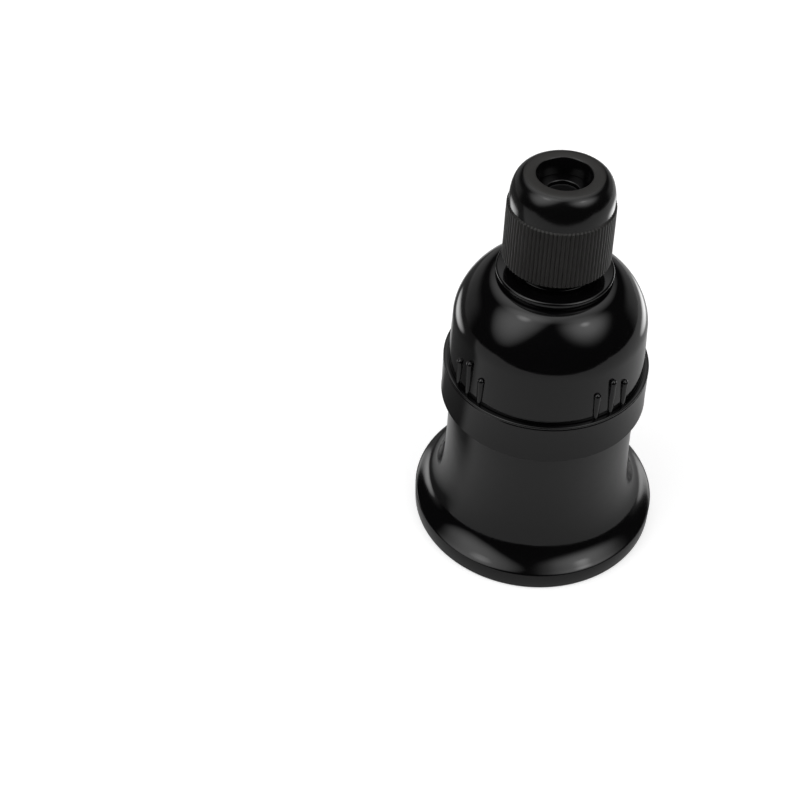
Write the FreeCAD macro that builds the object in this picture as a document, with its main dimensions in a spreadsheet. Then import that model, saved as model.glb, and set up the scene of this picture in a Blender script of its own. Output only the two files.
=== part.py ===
import FreeCAD, Part
import os
import math
import Sketcher

# Lamp holder, E27 size: flared phenolic skirt, porcelain insert with a rolled screw shell,
# domed cap with a threaded spout, and a knurled gland nut over a rubber seal.
# Millimetres. The origin is the centre of the skirt's rim, on its bottom face. +Z runs up
# the axis to the gland nut. Everything turns about Z.

SIZES = {
    # Screw shell: rolled sheet with the thread for an E27 lamp
    "shell_major_radius": 13.3,
    "thread_depth": 1.1,
    "thread_pitch": 3.63,
    "shell_sheet": 0.35,
    "shell_length": 7.7,
    "lip_width": 1.4,
    "lip_notch_radius": 5.2,
    "lip_notch_depth": 0.8,
    "lip_tab_width": 3.8,
    "lip_tab_length": 2.4,
    "lip_key_angle": -14.0,
    "lip_key_width": 4.0,
    "lip_key_tab": 1.2,
    # Porcelain insert, across
    "shell_clearance": 0.35,
    "throat_step": 0.4,
    "socket_step": 0.4,
    "lip_clearance": 0.15,
    "channel_clearance": 0.6,
    "channel_wall": 2.15,
    "channel_width": 7.5,
    "groove_width": 5.0,
    "groove_length": 4.0,
    "groove_floor": 0.6,
    "edge_wave": 1.1,
    "edge_wave_length": 4.4,
    "insert_edge": 0.5,
    # Porcelain insert, along
    "mouth_depth": 7.4,
    "shell_seat": 8.2,
    "throat_depth": 10.6,
    "socket_depth": 21.9,
    "floor_thickness": 5.7,
    "chamber_depth": 4.2,
    "flange_thickness": 2.4,
    "flange_clearance": 0.5,
    "chamber_side_gap": 2.9,
    "chamber_end_gap": 1.2,
    "ridge_width": 3.0,
    "ridge_height": 6.0,
    "ridge_clearance": 0.45,
    # Skirt
    "insert_clearance": 0.4,
    "skirt_wall": 1.3,
    "flare_spread": 6.45,
    "flare_fullness": 0.55,
    "neck_length": 3.6,
    "rim_height": 4.0,
    "rim_step": 1.8,
    "rim_edge": 0.35,
    "rim_face": 2.2,
    "mouth_step": 0.6,
    "inner_flare_height": 4.8,
    "inner_flare_ledge": 0.55,
    "first_step_height": 1.2,
    "first_step_width": 0.7,
    "second_step_height": 1.6,
    "second_step_width": 0.7,
    # Screwed joint between the skirt and the cap
    "cap_lap": 4.4,
    "cap_thread_clearance": 0.3,
    # Cap
    "band_wall": 1.25,
    "band_taper": 0.2,
    "band_height": 8.7,
    "band_edge": 0.2,
    "shoulder_width": 2.4,
    "cap_wall": 1.9,
    "dome_straight": 9.9,
    "dome_rise": 10.5,
    "dome_fullness": 0.423,
    "ledge_groove_width": 0.5,
    "ledge_groove_depth": 0.5,
    "collar_overhang": 0.9,
    "collar_height": 1.7,
    "collar_groove": 0.35,
    "spout_wall": 1.4,
    "spout_height": 12.0,
    "spout_chamfer": 0.6,
    "passage_radius": 4.2,
    "seal_bore_radius": 6.2,
    "seal_bore_depth": 8.6,
    # Grip ribs on the dome: groups of three, the middle one taller
    "rib_radius": 0.7,
    "rib_sink": 0.1,
    "rib_side_height": 6.1,
    "rib_middle_height": 8.0,
    "rib_pitch_angle": 10.0,
    "rib_group_angle": 34.3,
    "rib_groups": 4,
    # Key ribs inside the cap, which turn the insert with it
    "key_width": 1.5,
    "key_reach": 2.0,
    "key_height": 9.5,
    "key_clearance": 0.3,
    # Gland nut
    "nut_gap": 2.5,
    "nut_height": 17.8,
    "nut_clearance": 0.15,
    "nut_wall": 1.6,
    "nut_shoulder": 0.12,
    "knurl_height": 11.4,
    "knurl_depth": 0.26,
    "knurl_flare": 0.27,
    "knurl_count": 80,
    "nut_hole_radius": 4.9,
    "nut_rim_width": 1.65,
    "nut_fullness": 0.58,
    "nut_top_wall": 3.5,
    "nut_chamfer": 0.4,
    # Slip washer and rubber seal
    "washer_thickness": 0.8,
    "washer_hole_radius": 3.3,
    "washer_clearance": 0.3,
    "seal_length": 10.0,
    "seal_hole_radius": 2.85,
    "seal_clearance": 0.3,
    "seal_taper": 0.5,
    # Contacts
    "strip_gap": 0.05,
    "strip_sheet": 0.4,
    "strip_width": 5.6,
    "strip_lap": 2.6,
    "strip_margin": 0.2,
    "foot_margin": 0.8,
    "tongue_width": 4.6,
    "tongue_drop": 2.6,
    "tongue_flat": 1.5,
    "tongue_clearance": 0.04,
    "dimple_radius": 1.35,
    # Terminals and screws
    "terminal_inset": 3.6,
    "terminal_length": 7.2,
    "terminal_width": 6.4,
    "terminal_height": 8.4,
    "wire_hole_radius": 1.5,
    "wire_hole_height": 5.2,
    "clamp_screw_radius": 1.35,
    "clamp_head_radius": 2.2,
    "clamp_head_height": 1.6,
    "clamp_head_gap": 1.2,
    "fixing_screw_radius": 1.45,
    "fixing_head_radius": 2.6,
    "fixing_head_height": 1.5,
    "fixing_screw_depth": 3.4,
    "fixing_hole_clearance": 0.15,
    "fixing_hole_spare": 0.2,
    "screw_clearance": 0.03,
    "slot_width": 0.8,
    "slot_depth": 0.8,
}

doc = FreeCAD.newDocument("LampHolder")
sheet = doc.addObject("Spreadsheet::Sheet", "Sizes")
for row, (alias, value) in enumerate(SIZES.items(), start=1):
    sheet.set("A%d" % row, alias)
    sheet.set("B%d" % row, str(value))
    sheet.setAlias("B%d" % row, alias)
doc.recompute()


class Length:
    """A value with the spreadsheet formula that gives it."""

    def __init__(self, value, formula):
        self.value = float(value)
        self.formula = formula

    def __add__(self, other):
        other = length(other)
        return Length(self.value + other.value, "(%s + %s)" % (self.formula, other.formula))

    def __sub__(self, other):
        other = length(other)
        return Length(self.value - other.value, "(%s - %s)" % (self.formula, other.formula))

    def __mul__(self, other):
        other = length(other)
        return Length(self.value * other.value, "(%s * %s)" % (self.formula, other.formula))

    def __truediv__(self, other):
        other = length(other)
        return Length(self.value / other.value, "(%s / %s)" % (self.formula, other.formula))

    def __neg__(self):
        return Length(-self.value, "(0 - %s)" % self.formula)


def length(number):
    return number if isinstance(number, Length) else Length(number, repr(float(number)))


def size(alias):
    return Length(getattr(sheet, alias), "Sizes.%s" % alias)


def cosine(angle):
    return Length(math.cos(math.radians(angle.value)), "cos(%s)" % angle.formula)


def sine(angle):
    return Length(math.sin(math.radians(angle.value)), "sin(%s)" % angle.formula)


ZERO = length(0)

# Radii, from the lamp thread outwards: each piece is sized by what it holds
shell_inner_r = size("shell_major_radius") - size("thread_depth")
shell_outer_r = size("shell_major_radius") + size("shell_sheet")
lip_r = shell_outer_r + size("lip_width")
strip_back_r = shell_outer_r + size("strip_gap")
strip_front_r = strip_back_r + size("strip_sheet")
channel_r = strip_front_r + size("channel_clearance")
insert_r = channel_r + size("channel_wall")
shell_bore_r = shell_outer_r + size("shell_clearance")
throat_r = shell_bore_r - size("throat_step")
socket_r = throat_r - size("socket_step")
skirt_bore_r = insert_r + size("insert_clearance")
neck_r = skirt_bore_r + size("skirt_wall")
rim_r = neck_r + size("flare_spread")
cap_thread_r = neck_r + size("cap_thread_clearance")
band_r = cap_thread_r + size("band_wall")
dome_bore_r = cap_thread_r - size("shoulder_width")
dome_r = dome_bore_r + size("cap_wall")
spout_r = size("seal_bore_radius") + size("spout_wall")
nut_bore_r = spout_r + size("nut_clearance")
nut_dome_r = nut_bore_r + size("nut_wall")
knurl_top_r = nut_dome_r + size("nut_shoulder") + size("knurl_depth")
knurl_foot_r = knurl_top_r + size("knurl_flare")
collar_r = knurl_foot_r + size("collar_overhang")
terminal_y = socket_r - size("terminal_inset")
strip_end_y = terminal_y - size("fixing_head_radius") - size("strip_margin")

# Levels, from the rim upwards
lip_z = size("mouth_depth")
floor_z = lip_z + size("socket_depth")
strip_z = floor_z - size("strip_sheet")
deck_z = floor_z + size("floor_thickness")
shoulder_z = deck_z + size("chamber_depth")
skirt_z = shoulder_z - size("flange_thickness")
band_z = skirt_z - size("cap_lap")
flare_z = band_z - size("neck_length")
ledge_z = band_z + size("band_height")
dome_z = ledge_z + size("dome_straight")
collar_z = dome_z + size("dome_rise")
spout_z = collar_z + size("collar_height")
spout_top_z = spout_z + size("spout_height")
nut_z = spout_z + size("nut_gap")
knurl_z = nut_z + size("knurl_height")
nut_top_z = nut_z + size("nut_height")
washer_top_z = nut_top_z - size("nut_top_wall")
washer_z = washer_top_z - size("washer_thickness")
seal_z = washer_z - size("seal_length")
tongue_z = strip_z + size("strip_sheet") / 2 - size("tongue_drop")


# Helpers for sketches and features

def bind(obj, prop, formula):
    """Ties a property to the sheet."""
    obj.setExpression(prop, length(formula).formula)


def new_body(name):
    body = doc.addObject("PartDesign::Body", name)
    body.Label = name
    return body


def origin_item(body, role):
    return [item for item in body.Origin.OriginFeatures if item.Role == role][0]


def new_sketch(body, name, plane="XZ_Plane", level=None):
    """A sketch on one of the body's own planes, raised by level along the plane's normal."""
    sketch = body.newObject("Sketcher::SketchObject", name)
    sketch.AttachmentSupport = (origin_item(body, plane), [""])
    sketch.MapMode = "FlatFace"
    if level is not None:
        sketch.AttachmentOffset = FreeCAD.Placement(
            FreeCAD.Vector(0, 0, level.value), FreeCAD.Rotation())
        bind(sketch, "AttachmentOffset.Base.z", level)
    return sketch


def pin(sketch, shape, end, x, y):
    """Holds one point of a sketch at (x, y) from the sketch's origin."""
    for kind, at in (("DistanceX", length(x)), ("DistanceY", length(y))):
        index = sketch.addConstraint(Sketcher.Constraint(kind, -1, 1, shape, end, at.value))
        sketch.setExpression("Constraints[%d]" % index, at.formula)


def outline(sketch, path):
    """Draws a closed outline. A point is (x, y). A smooth curve between two points is
    written as a list of its two inner poles."""
    def vector(point):
        return FreeCAD.Vector(length(point[0]).value, length(point[1]).value, 0)

    curves = []
    first = None
    points = [step for step in path if isinstance(step, tuple)]
    index = 0
    for place, step in enumerate(path):
        if isinstance(step, list):
            continue
        start = points[index]
        end = points[(index + 1) % len(points)]
        index += 1
        after = path[(place + 1) % len(path)]
        if isinstance(after, list):
            poles = [start] + after + [end]
            spline = Part.BSplineCurve()
            spline.buildFromPolesMultsKnots([vector(p) for p in poles], [4, 4], [0, 1], False, 3)
            shape = sketch.addGeometry(spline, False)
            curves.append((shape, poles))
        else:
            shape = sketch.addGeometry(Part.LineSegment(vector(start), vector(end)), False)
        if first is None:
            first = shape
        else:
            sketch.addConstraint(Sketcher.Constraint("Coincident", shape - 1, 2, shape, 1))
        last = shape
    sketch.addConstraint(Sketcher.Constraint("Coincident", last, 2, first, 1))
    for shape, poles in curves:
        before = sketch.GeometryCount
        sketch.exposeInternalGeometry(shape)
        for number in (1, 2):
            pin(sketch, before + number, 3, *poles[number])
    for number, point in enumerate(points):
        pin(sketch, first + number, 1, *point)


def closed_curve(sketch, poles):
    """Draws a smooth closed curve round its poles."""
    spline = Part.BSplineCurve()
    spline.buildFromPoles([FreeCAD.Vector(x.value, y.value, 0) for x, y in poles], True, 3)
    shape = sketch.addGeometry(spline, False)
    before = sketch.GeometryCount
    sketch.exposeInternalGeometry(shape)
    for number, (x, y) in enumerate(poles):
        pin(sketch, before + number, 3, x, y)


def rectangle(sketch, x0, x1, y0, y1):
    outline(sketch, [(x0, y0), (x1, y0), (x1, y1), (x0, y1)])


def circle(sketch, x, y, radius):
    radius = length(radius)
    shape = sketch.addGeometry(
        Part.Circle(FreeCAD.Vector(length(x).value, length(y).value, 0),
                    FreeCAD.Vector(0, 0, 1), radius.value), False)
    index = sketch.addConstraint(Sketcher.Constraint("Radius", shape, radius.value))
    sketch.setExpression("Constraints[%d]" % index, radius.formula)
    pin(sketch, shape, 3, x, y)


def revolve(body, name, path):
    """Turns a profile, drawn as (radius, height), about the Z axis."""
    sketch = new_sketch(body, name + "Sketch")
    outline(sketch, path)
    turned = body.newObject("PartDesign::Revolution", name)
    turned.Profile = sketch
    turned.ReferenceAxis = (sketch, ["V_Axis"])
    turned.Angle = 360
    return turned


def raised(body, name, draw, level, height, cut=False):
    """Pads, or cuts, what draw(sketch) puts in a horizontal sketch, upwards from level."""
    sketch = new_sketch(body, name + "Sketch", "XY_Plane", level)
    draw(sketch)
    feature = body.newObject("PartDesign::Pocket" if cut else "PartDesign::Pad", name)
    feature.Profile = sketch
    feature.Length = length(height).value
    bind(feature, "Length", height)
    feature.Reversed = cut
    return feature


def block(body, name, x0, x1, y0, y1, level, height, cut=False):
    return raised(body, name, lambda sketch: rectangle(sketch, x0, x1, y0, y1), level, height, cut)


def post(body, name, x, y, radius, level, height, cut=False):
    return raised(body, name, lambda sketch: circle(sketch, x, y, radius), level, height, cut)


def polar(body, name, originals, count, angle=360):
    pattern = body.newObject("PartDesign::PolarPattern", name)
    pattern.Originals = originals
    pattern.Axis = (origin_item(body, "Z_Axis"), [""])
    pattern.Angle = angle
    pattern.Occurrences = int(count.value)
    bind(pattern, "Occurrences", count)
    body.Tip = pattern
    return pattern


# Skirt: the flared lower moulding, which stands on its rim

def make_skirt():
    body = new_body("skirt")
    edge, full = size("rim_edge"), size("flare_fullness")
    rim_top = size("rim_height")
    start_r = rim_r - size("rim_step")
    run, rise = start_r - neck_r, flare_z - rim_top
    mouth_r = rim_r - size("rim_face")
    second_r = skirt_bore_r + size("second_step_width")
    first_r = second_r + size("first_step_width")
    inner_r = first_r + size("inner_flare_ledge")
    inner_z = size("mouth_step") + size("inner_flare_height")
    first_z = inner_z + size("first_step_height")
    second_z = first_z + size("second_step_height")
    revolve(body, "SkirtForm", [
        (mouth_r, ZERO),
        (rim_r - edge, ZERO),
        (rim_r, edge),
        (rim_r, rim_top - edge),
        (rim_r - edge, rim_top),
        (start_r, rim_top),
        [(start_r - full * run, rim_top), (neck_r, flare_z - full * rise)],
        (neck_r, flare_z),
        (neck_r, skirt_z),
        (skirt_bore_r, skirt_z),
        (skirt_bore_r, second_z),
        (second_r, second_z),
        (second_r, first_z),
        (first_r, first_z),
        (first_r, inner_z),
        (inner_r, inner_z),
        [(inner_r, inner_z - full * size("inner_flare_height")),
         (mouth_r - full * (mouth_r - inner_r), size("mouth_step"))],
        (mouth_r, size("mouth_step")),
    ])
    return body


# Cap: the screwed band, the domed top with its grip ribs, and the threaded spout

def make_cap():
    body = new_body("cap")
    edge, full = size("band_edge"), size("dome_fullness")
    band_top_r = band_r - size("band_taper")
    groove_r = dome_r + size("ledge_groove_width")
    groove_z = ledge_z - size("ledge_groove_depth")
    wall, ring = size("cap_wall"), size("collar_groove")
    rise, run = size("dome_rise"), dome_r - collar_r
    cut = size("spout_chamfer")
    seat_z = spout_top_z - size("seal_bore_depth")
    ceiling_z, ceiling_r = collar_z - wall, collar_r - wall
    revolve(body, "CapForm", [
        (cap_thread_r, band_z),
        (band_r - edge, band_z),
        (band_r, band_z + edge),
        (band_top_r, ledge_z - edge),
        (band_top_r - edge, ledge_z),
        (groove_r, ledge_z),
        (groove_r, groove_z),
        (dome_r, groove_z),
        (dome_r, dome_z),
        [(dome_r, dome_z + full * rise), (collar_r + full * run, collar_z)],
        (collar_r, collar_z),
        (collar_r - ring, collar_z),
        (collar_r - ring, collar_z + ring),
        (collar_r, collar_z + ring),
        (collar_r, spout_z),
        (spout_r, spout_z),
        (spout_r, spout_top_z - cut),
        (spout_r - cut, spout_top_z),
        (size("seal_bore_radius"), spout_top_z),
        (size("seal_bore_radius"), seat_z),
        (size("passage_radius"), seat_z),
        (size("passage_radius"), ceiling_z),
        (ceiling_r, ceiling_z),
        [(ceiling_r + full * run, ceiling_z), (dome_bore_r, dome_z + full * (rise - wall))],
        (dome_bore_r, dome_z),
        (dome_bore_r, shoulder_z),
        (cap_thread_r, shoulder_z),
    ])
    add_grip_ribs(body)
    add_key_ribs(body)
    return body


def add_grip_ribs(body):
    """Half-round ribs that stand on the ledge against the dome, in groups of three."""
    radius = size("rib_radius")
    at = dome_r - size("rib_sink")
    base = ledge_z - size("ledge_groove_depth")
    ribs = []
    for name, offset, height in (("Left", -1, "rib_side_height"), ("Middle", 0, "rib_middle_height"),
                                 ("Right", 1, "rib_side_height")):
        angle = size("rib_group_angle") + size("rib_pitch_angle") * offset
        x, y = at * sine(angle), -(at * cosine(angle))
        tall = size(height) + size("ledge_groove_depth") - radius
        ribs.append(round_rib(body, "Rib" + name, x, y, radius, base, tall))
    polar(body, "RibGroups", ribs, size("rib_groups"))


def round_rib(body, name, x, y, radius, base, tall):
    """A round post with a blunt point, turned about its own upright axis."""
    sketch = new_sketch(body, name + "Sketch", "XZ_Plane", -y)
    top = base + tall
    outline(sketch, [
        (x, base), (x + radius, base), (x + radius, top),
        (x + radius * 0.7, top + radius * 0.7), (x, top + radius),
    ])
    axis = sketch.addGeometry(Part.LineSegment(
        FreeCAD.Vector(x.value, base.value, 0), FreeCAD.Vector(x.value, top.value, 0)), True)
    pin(sketch, axis, 1, x, base)
    pin(sketch, axis, 2, x, top)
    turned = body.newObject("PartDesign::Revolution", name)
    turned.Profile = sketch
    turned.ReferenceAxis = (sketch, ["Axis0"])
    turned.Angle = 360
    return turned


def add_key_ribs(body):
    """Two ribs either side of each end of the porcelain ridge."""
    near = size("ridge_width") / 2 + size("key_clearance")
    outer = dome_bore_r + size("cap_wall") / 2
    inner = dome_bore_r - size("key_reach")
    base = shoulder_z + size("key_clearance")
    keys = []
    for name, side in (("Front", -1), ("Back", 1)):
        y0, y1 = near * side, (near + size("key_width")) * side
        keys.append(block(body, "Key" + name, inner, outer, y0 if side > 0 else y1,
                          y1 if side > 0 else y0, base, size("key_height")))
    polar(body, "KeyPairs", keys, length(2))


# Gland nut: a knurled skirt that tapers up into a smooth dome with the cord hole

def star(radius, depth, count, level):
    """A closed ring of vee ribs."""
    points = []
    for step in range(2 * count):
        at = radius if step % 2 == 0 else radius - depth
        angle = math.pi * step / count
        points.append(FreeCAD.Vector(at * math.cos(angle), at * math.sin(angle), level))
    return Part.makePolygon(points + [points[0]])


def make_gland_nut():
    foot, top, base = knurl_foot_r.value, knurl_top_r.value, nut_dome_r.value
    depth, count = size("knurl_depth").value, int(size("knurl_count").value)
    bottom, knurl_top, nut_top = nut_z.value, knurl_z.value, nut_top_z.value
    chamfer, hole = size("nut_chamfer").value, size("nut_hole_radius").value
    rim = hole + size("nut_rim_width").value
    full = size("nut_fullness").value
    knurl = Part.makeLoft([star(foot, depth, count, bottom), star(top, depth, count, knurl_top)],
                          True, True)
    height = knurl_top - bottom
    knurl = knurl.common(Part.makeCone(foot - chamfer, foot - chamfer + height, height,
                                       FreeCAD.Vector(0, 0, bottom)))
    curve = Part.BSplineCurve()
    curve.buildFromPolesMultsKnots(
        [FreeCAD.Vector(base, 0, knurl_top),
         FreeCAD.Vector(base, 0, knurl_top + full * (nut_top - knurl_top)),
         FreeCAD.Vector(rim + full * (base - rim), 0, nut_top),
         FreeCAD.Vector(rim, 0, nut_top)], [4, 4], [0, 1], False, 3)
    corners = [FreeCAD.Vector(rim, 0, nut_top), FreeCAD.Vector(0, 0, nut_top),
               FreeCAD.Vector(0, 0, bottom + chamfer), FreeCAD.Vector(base, 0, bottom + chamfer),
               FreeCAD.Vector(base, 0, knurl_top)]
    edges = [curve.toShape()] + [Part.makeLine(a, b) for a, b in zip(corners[:-1], corners[1:])]
    dome = Part.Face(Part.Wire(edges)).revolve(
        FreeCAD.Vector(0, 0, 0), FreeCAD.Vector(0, 0, 1), 360)
    inside = Part.makeCylinder(nut_bore_r.value, washer_top_z.value - bottom,
                               FreeCAD.Vector(0, 0, bottom))
    mouth = Part.makeCylinder(hole, nut_top - bottom, FreeCAD.Vector(0, 0, bottom))
    nut = doc.addObject("Part::Feature", "gland_nut")
    nut.Label = "gland_nut"
    nut.Shape = knurl.fuse(dome).cut(inside.fuse(mouth)).removeSplitter()
    return nut


def make_slip_washer():
    body = new_body("slip_washer")
    outer = nut_bore_r - size("washer_clearance")
    revolve(body, "WasherForm", [
        (size("washer_hole_radius"), washer_z),
        (outer, washer_z),
        (outer, washer_top_z),
        (size("washer_hole_radius"), washer_top_z),
    ])
    return body


def make_gland_seal():
    body = new_body("gland_seal")
    outer = size("seal_bore_radius") - size("seal_clearance")
    revolve(body, "SealForm", [
        (size("seal_hole_radius"), seal_z),
        (outer - size("seal_taper"), seal_z),
        (outer, seal_z + size("seal_taper") * 2),
        (outer, washer_z),
        (size("seal_hole_radius"), washer_z),
    ])
    return body


# Porcelain insert: hangs from its flange on the skirt's top edge

def make_insert():
    body = new_body("porcelain_insert")
    edge = size("insert_edge")
    flange_r = cap_thread_r - size("flange_clearance")
    seat_r = lip_r + size("lip_clearance")
    revolve(body, "InsertForm", [
        (ZERO, floor_z),
        (socket_r, floor_z),
        (socket_r, lip_z + size("throat_depth")),
        (throat_r, lip_z + size("throat_depth")),
        (throat_r, lip_z + size("shell_seat")),
        (shell_bore_r, lip_z + size("shell_seat")),
        (shell_bore_r, lip_z + size("shell_sheet")),
        (seat_r, lip_z + size("shell_sheet")),
        (seat_r, lip_z),
        (insert_r - edge, lip_z),
        (insert_r, lip_z + edge),
        (insert_r, skirt_z),
        (flange_r, skirt_z),
        (flange_r, shoulder_z),
        (ZERO, shoulder_z),
    ])
    half = size("channel_width") / 2
    channel_z = lip_z + size("groove_length") + size("groove_floor")
    block(body, "StripChannel", -half, half, -channel_r, -terminal_y,
          channel_z, floor_z - channel_z, True)
    add_wavy_edge(body)
    add_edge_grooves(body)
    add_terminal_deck(body)
    return body


def add_wavy_edge(body):
    """The raw lower edge, which the mould leaves uneven all round."""
    shares = [0.2, 0.75, 0.35, 0.9, 0.5, 0.1, 0.6, 0.95, 0.4, 0.15, 0.7, 0.3, 0.85, 1.0, 0.45, 0.1]
    sketch = new_sketch(body, "EdgeWaveSketch", "XY_Plane", lip_z)
    poles = []
    for number, share in enumerate(shares):
        angle = length(360.0 * number / len(shares))
        at = insert_r - size("edge_wave") * share
        poles.append((at * cosine(angle), at * sine(angle)))
    closed_curve(sketch, poles)
    circle(sketch, ZERO, ZERO, insert_r + size("insert_edge"))
    wave = body.newObject("PartDesign::Pocket", "EdgeWave")
    wave.Profile = sketch
    wave.Length = size("edge_wave_length").value
    bind(wave, "Length", size("edge_wave_length"))
    wave.Reversed = True


def add_edge_grooves(body):
    """Two grooves up the outside of the lower end, which take the shell's folded tabs."""
    half = size("groove_width") / 2
    reach = lip_r - size("lip_notch_depth") - size("shell_sheet") - size("lip_clearance")
    cut = block(body, "EdgeGroove", -half, half, reach, insert_r + size("insert_edge"),
                lip_z, size("groove_length"), True)
    polar(body, "EdgeGrooves", [cut], length(2))


def add_terminal_deck(body):
    """Two chambers for the terminals, a ridge between them and the screw holes."""
    half = size("terminal_length") / 2 + size("chamber_side_gap")
    reach = size("terminal_width") / 2 + size("chamber_end_gap")
    chamber = block(body, "Chamber", -half, half, terminal_y - reach, terminal_y + reach,
                    deck_z, size("chamber_depth"), True)
    hole = post(body, "FixingHole", ZERO, terminal_y,
                size("fixing_screw_radius") + size("fixing_hole_clearance"),
                floor_z, size("floor_thickness"), True)
    polar(body, "ChamberPair", [chamber, hole], length(2))
    reach, half = dome_bore_r - size("ridge_clearance"), size("ridge_width") / 2
    block(body, "Ridge", -reach, reach, -half, half, shoulder_z, size("ridge_height"))


# Screw shell: thin sheet rolled into the lamp thread, with a flat lip at the mouth

def thread_ridge(base, crest, pitch, start, turns):
    """A solid helical ridge with a rounded crest, which runs past both ends of the shell."""
    helix = Part.makeHelix(pitch, turns * pitch, base)
    helix.translate(FreeCAD.Vector(0, 0, start))
    half, rise = pitch * 0.36, crest - base
    shape = [(-0.4, -1.0), (-0.02, -1.0), (rise * 0.62, -0.68), (rise, -0.27),
             (rise, 0.27), (rise * 0.62, 0.68), (-0.02, 1.0), (-0.4, 1.0), (-0.4, -1.0)]
    corners = [FreeCAD.Vector(base + out, 0, start + half * share) for out, share in shape]
    section = Part.makePolygon(corners)
    return Part.Wire(helix.Edges).makePipeShell([section], True, True)


def make_screw_shell():
    minor, major = shell_inner_r.value, size("shell_major_radius").value
    sheet_t, pitch = size("shell_sheet").value, size("thread_pitch").value
    bottom, tall = lip_z.value, size("shell_length").value
    turns = tall / pitch + 2
    origin, below = FreeCAD.Vector(0, 0, bottom), FreeCAD.Vector(0, 0, bottom - 1)
    outer = Part.makeCylinder(minor + sheet_t, tall, origin)
    ridge = thread_ridge(minor + sheet_t, major + sheet_t, pitch, bottom - pitch, turns)
    outer = outer.fuse(ridge.common(Part.makeCylinder(major + 3, tall, origin)))
    inner = thread_ridge(minor, major, pitch, bottom - pitch, turns)
    inner = inner.common(Part.makeCylinder(major + 3, tall + 2, below))
    shell = doc.addObject("Part::Feature", "screw_shell")
    shell.Label = "screw_shell"
    shell.Shape = outer.fuse(make_lip()).cut(
        Part.makeCylinder(minor, tall + 2, below)).cut(inner)
    return shell


def make_lip():
    """The flat lip. Two lenses are cut out of its edge with their tabs folded up into the
    porcelain's grooves, and a narrower keyway has a small tab at one end."""
    sheet_t, edge, bottom = size("shell_sheet").value, lip_r.value, lip_z.value
    tall, depth = size("lip_tab_length").value, size("lip_notch_depth").value
    lens_r, width = size("lip_notch_radius").value, size("lip_tab_width").value
    fold = edge - depth
    upright = FreeCAD.Vector(0, 0, 1)
    lip = Part.makeCylinder(edge, sheet_t, FreeCAD.Vector(0, 0, bottom))
    cut = Part.makeCylinder(lens_r, 3 * sheet_t, FreeCAD.Vector(0, -fold - lens_r, bottom - sheet_t))
    tab = Part.makeBox(width, sheet_t, tall, FreeCAD.Vector(-width / 2, -fold, bottom))
    for turn in (0, 180):
        lip = lip.cut(cut.rotated(FreeCAD.Vector(), upright, turn))
        lip = lip.fuse(tab.rotated(FreeCAD.Vector(), upright, turn))
    angle, span = size("lip_key_angle").value, size("lip_key_width").value
    keyway = Part.makeBox(depth + 1, span, 3 * sheet_t,
                          FreeCAD.Vector(fold, -span / 2, bottom - sheet_t))
    key_tab = Part.makeBox(depth, size("lip_key_tab").value, sheet_t,
                           FreeCAD.Vector(fold - sheet_t, -span / 2, bottom))
    lip = lip.cut(keyway.rotated(FreeCAD.Vector(), upright, angle))
    return lip.fuse(key_tab.rotated(FreeCAD.Vector(), upright, angle))


# Contacts

def make_shell_strip():
    """Runs from the back of the shell up the channel and over the floor to its screw."""
    body = new_body("shell_strip")
    half = size("strip_width") / 2
    foot_z = lip_z + size("shell_length") - size("strip_lap")
    block(body, "StripUpright", -half, half, -strip_front_r, -strip_back_r,
          foot_z, floor_z - foot_z)
    block(body, "StripFoot", -half, half, -strip_back_r, -strip_end_y,
          strip_z, size("strip_sheet"))
    post(body, "StripHole", ZERO, -terminal_y,
         size("fixing_screw_radius") + size("screw_clearance"), strip_z, size("strip_sheet"), True)
    return body


def make_contact_foot():
    """The fixed end of the centre contact, held under its screw."""
    body = new_body("contact_foot")
    half = size("tongue_width") / 2
    block(body, "FootPlate", -half, half, strip_end_y, socket_r - size("foot_margin"),
          strip_z, size("strip_sheet"))
    post(body, "FootHole", ZERO, terminal_y,
         size("fixing_screw_radius") + size("screw_clearance"), strip_z, size("strip_sheet"), True)
    return body


def make_contact_tongue():
    """The sprung end of the centre contact: it turns about the round bead at its root."""
    body = new_body("contact_tongue")
    half, sheet_t = size("tongue_width") / 2, size("strip_sheet")
    root_y = strip_end_y - size("tongue_clearance") - sheet_t / 2
    root_z, low, up = strip_z + sheet_t / 2, tongue_z - sheet_t / 2, tongue_z + sheet_t / 2
    flat, end = size("tongue_flat"), -size("dimple_radius")

    def side_view(sketch):
        outline(sketch, [(root_y, root_z - sheet_t / 2), (root_y, root_z + sheet_t / 2),
                         (flat, up), (end, up), (end, low), (flat, low)])

    def bead(sketch):
        circle(sketch, root_y, root_z, sheet_t / 2)

    across(body, "TongueForm", side_view, -half, half * 2)
    across(body, "TongueRoot", bead, -half, half * 2)
    dimple_r = size("dimple_radius")
    post(body, "TongueTip", ZERO, -dimple_r, half, low, sheet_t)
    revolve_at(body, "Dimple", low, dimple_r)
    return body


def across(body, name, draw, start, width, cut=False):
    """Pads, or cuts, a side view drawn as (y, z), across the piece from x = start."""
    sketch = new_sketch(body, name + "Sketch", "YZ_Plane", start)
    draw(sketch)
    feature = body.newObject("PartDesign::Pocket" if cut else "PartDesign::Pad", name)
    feature.Profile = sketch
    feature.Length = length(width).value
    bind(feature, "Length", width)
    feature.Reversed = cut
    return feature


def revolve_at(body, name, level, radius):
    """A shallow round dimple under a level, on the Z axis."""
    return revolve(body, name, [
        (ZERO, level - radius * 0.55),
        (radius * 0.45, level - radius * 0.45),
        (radius * 0.8, level),
        (ZERO, level),
    ])


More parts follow.
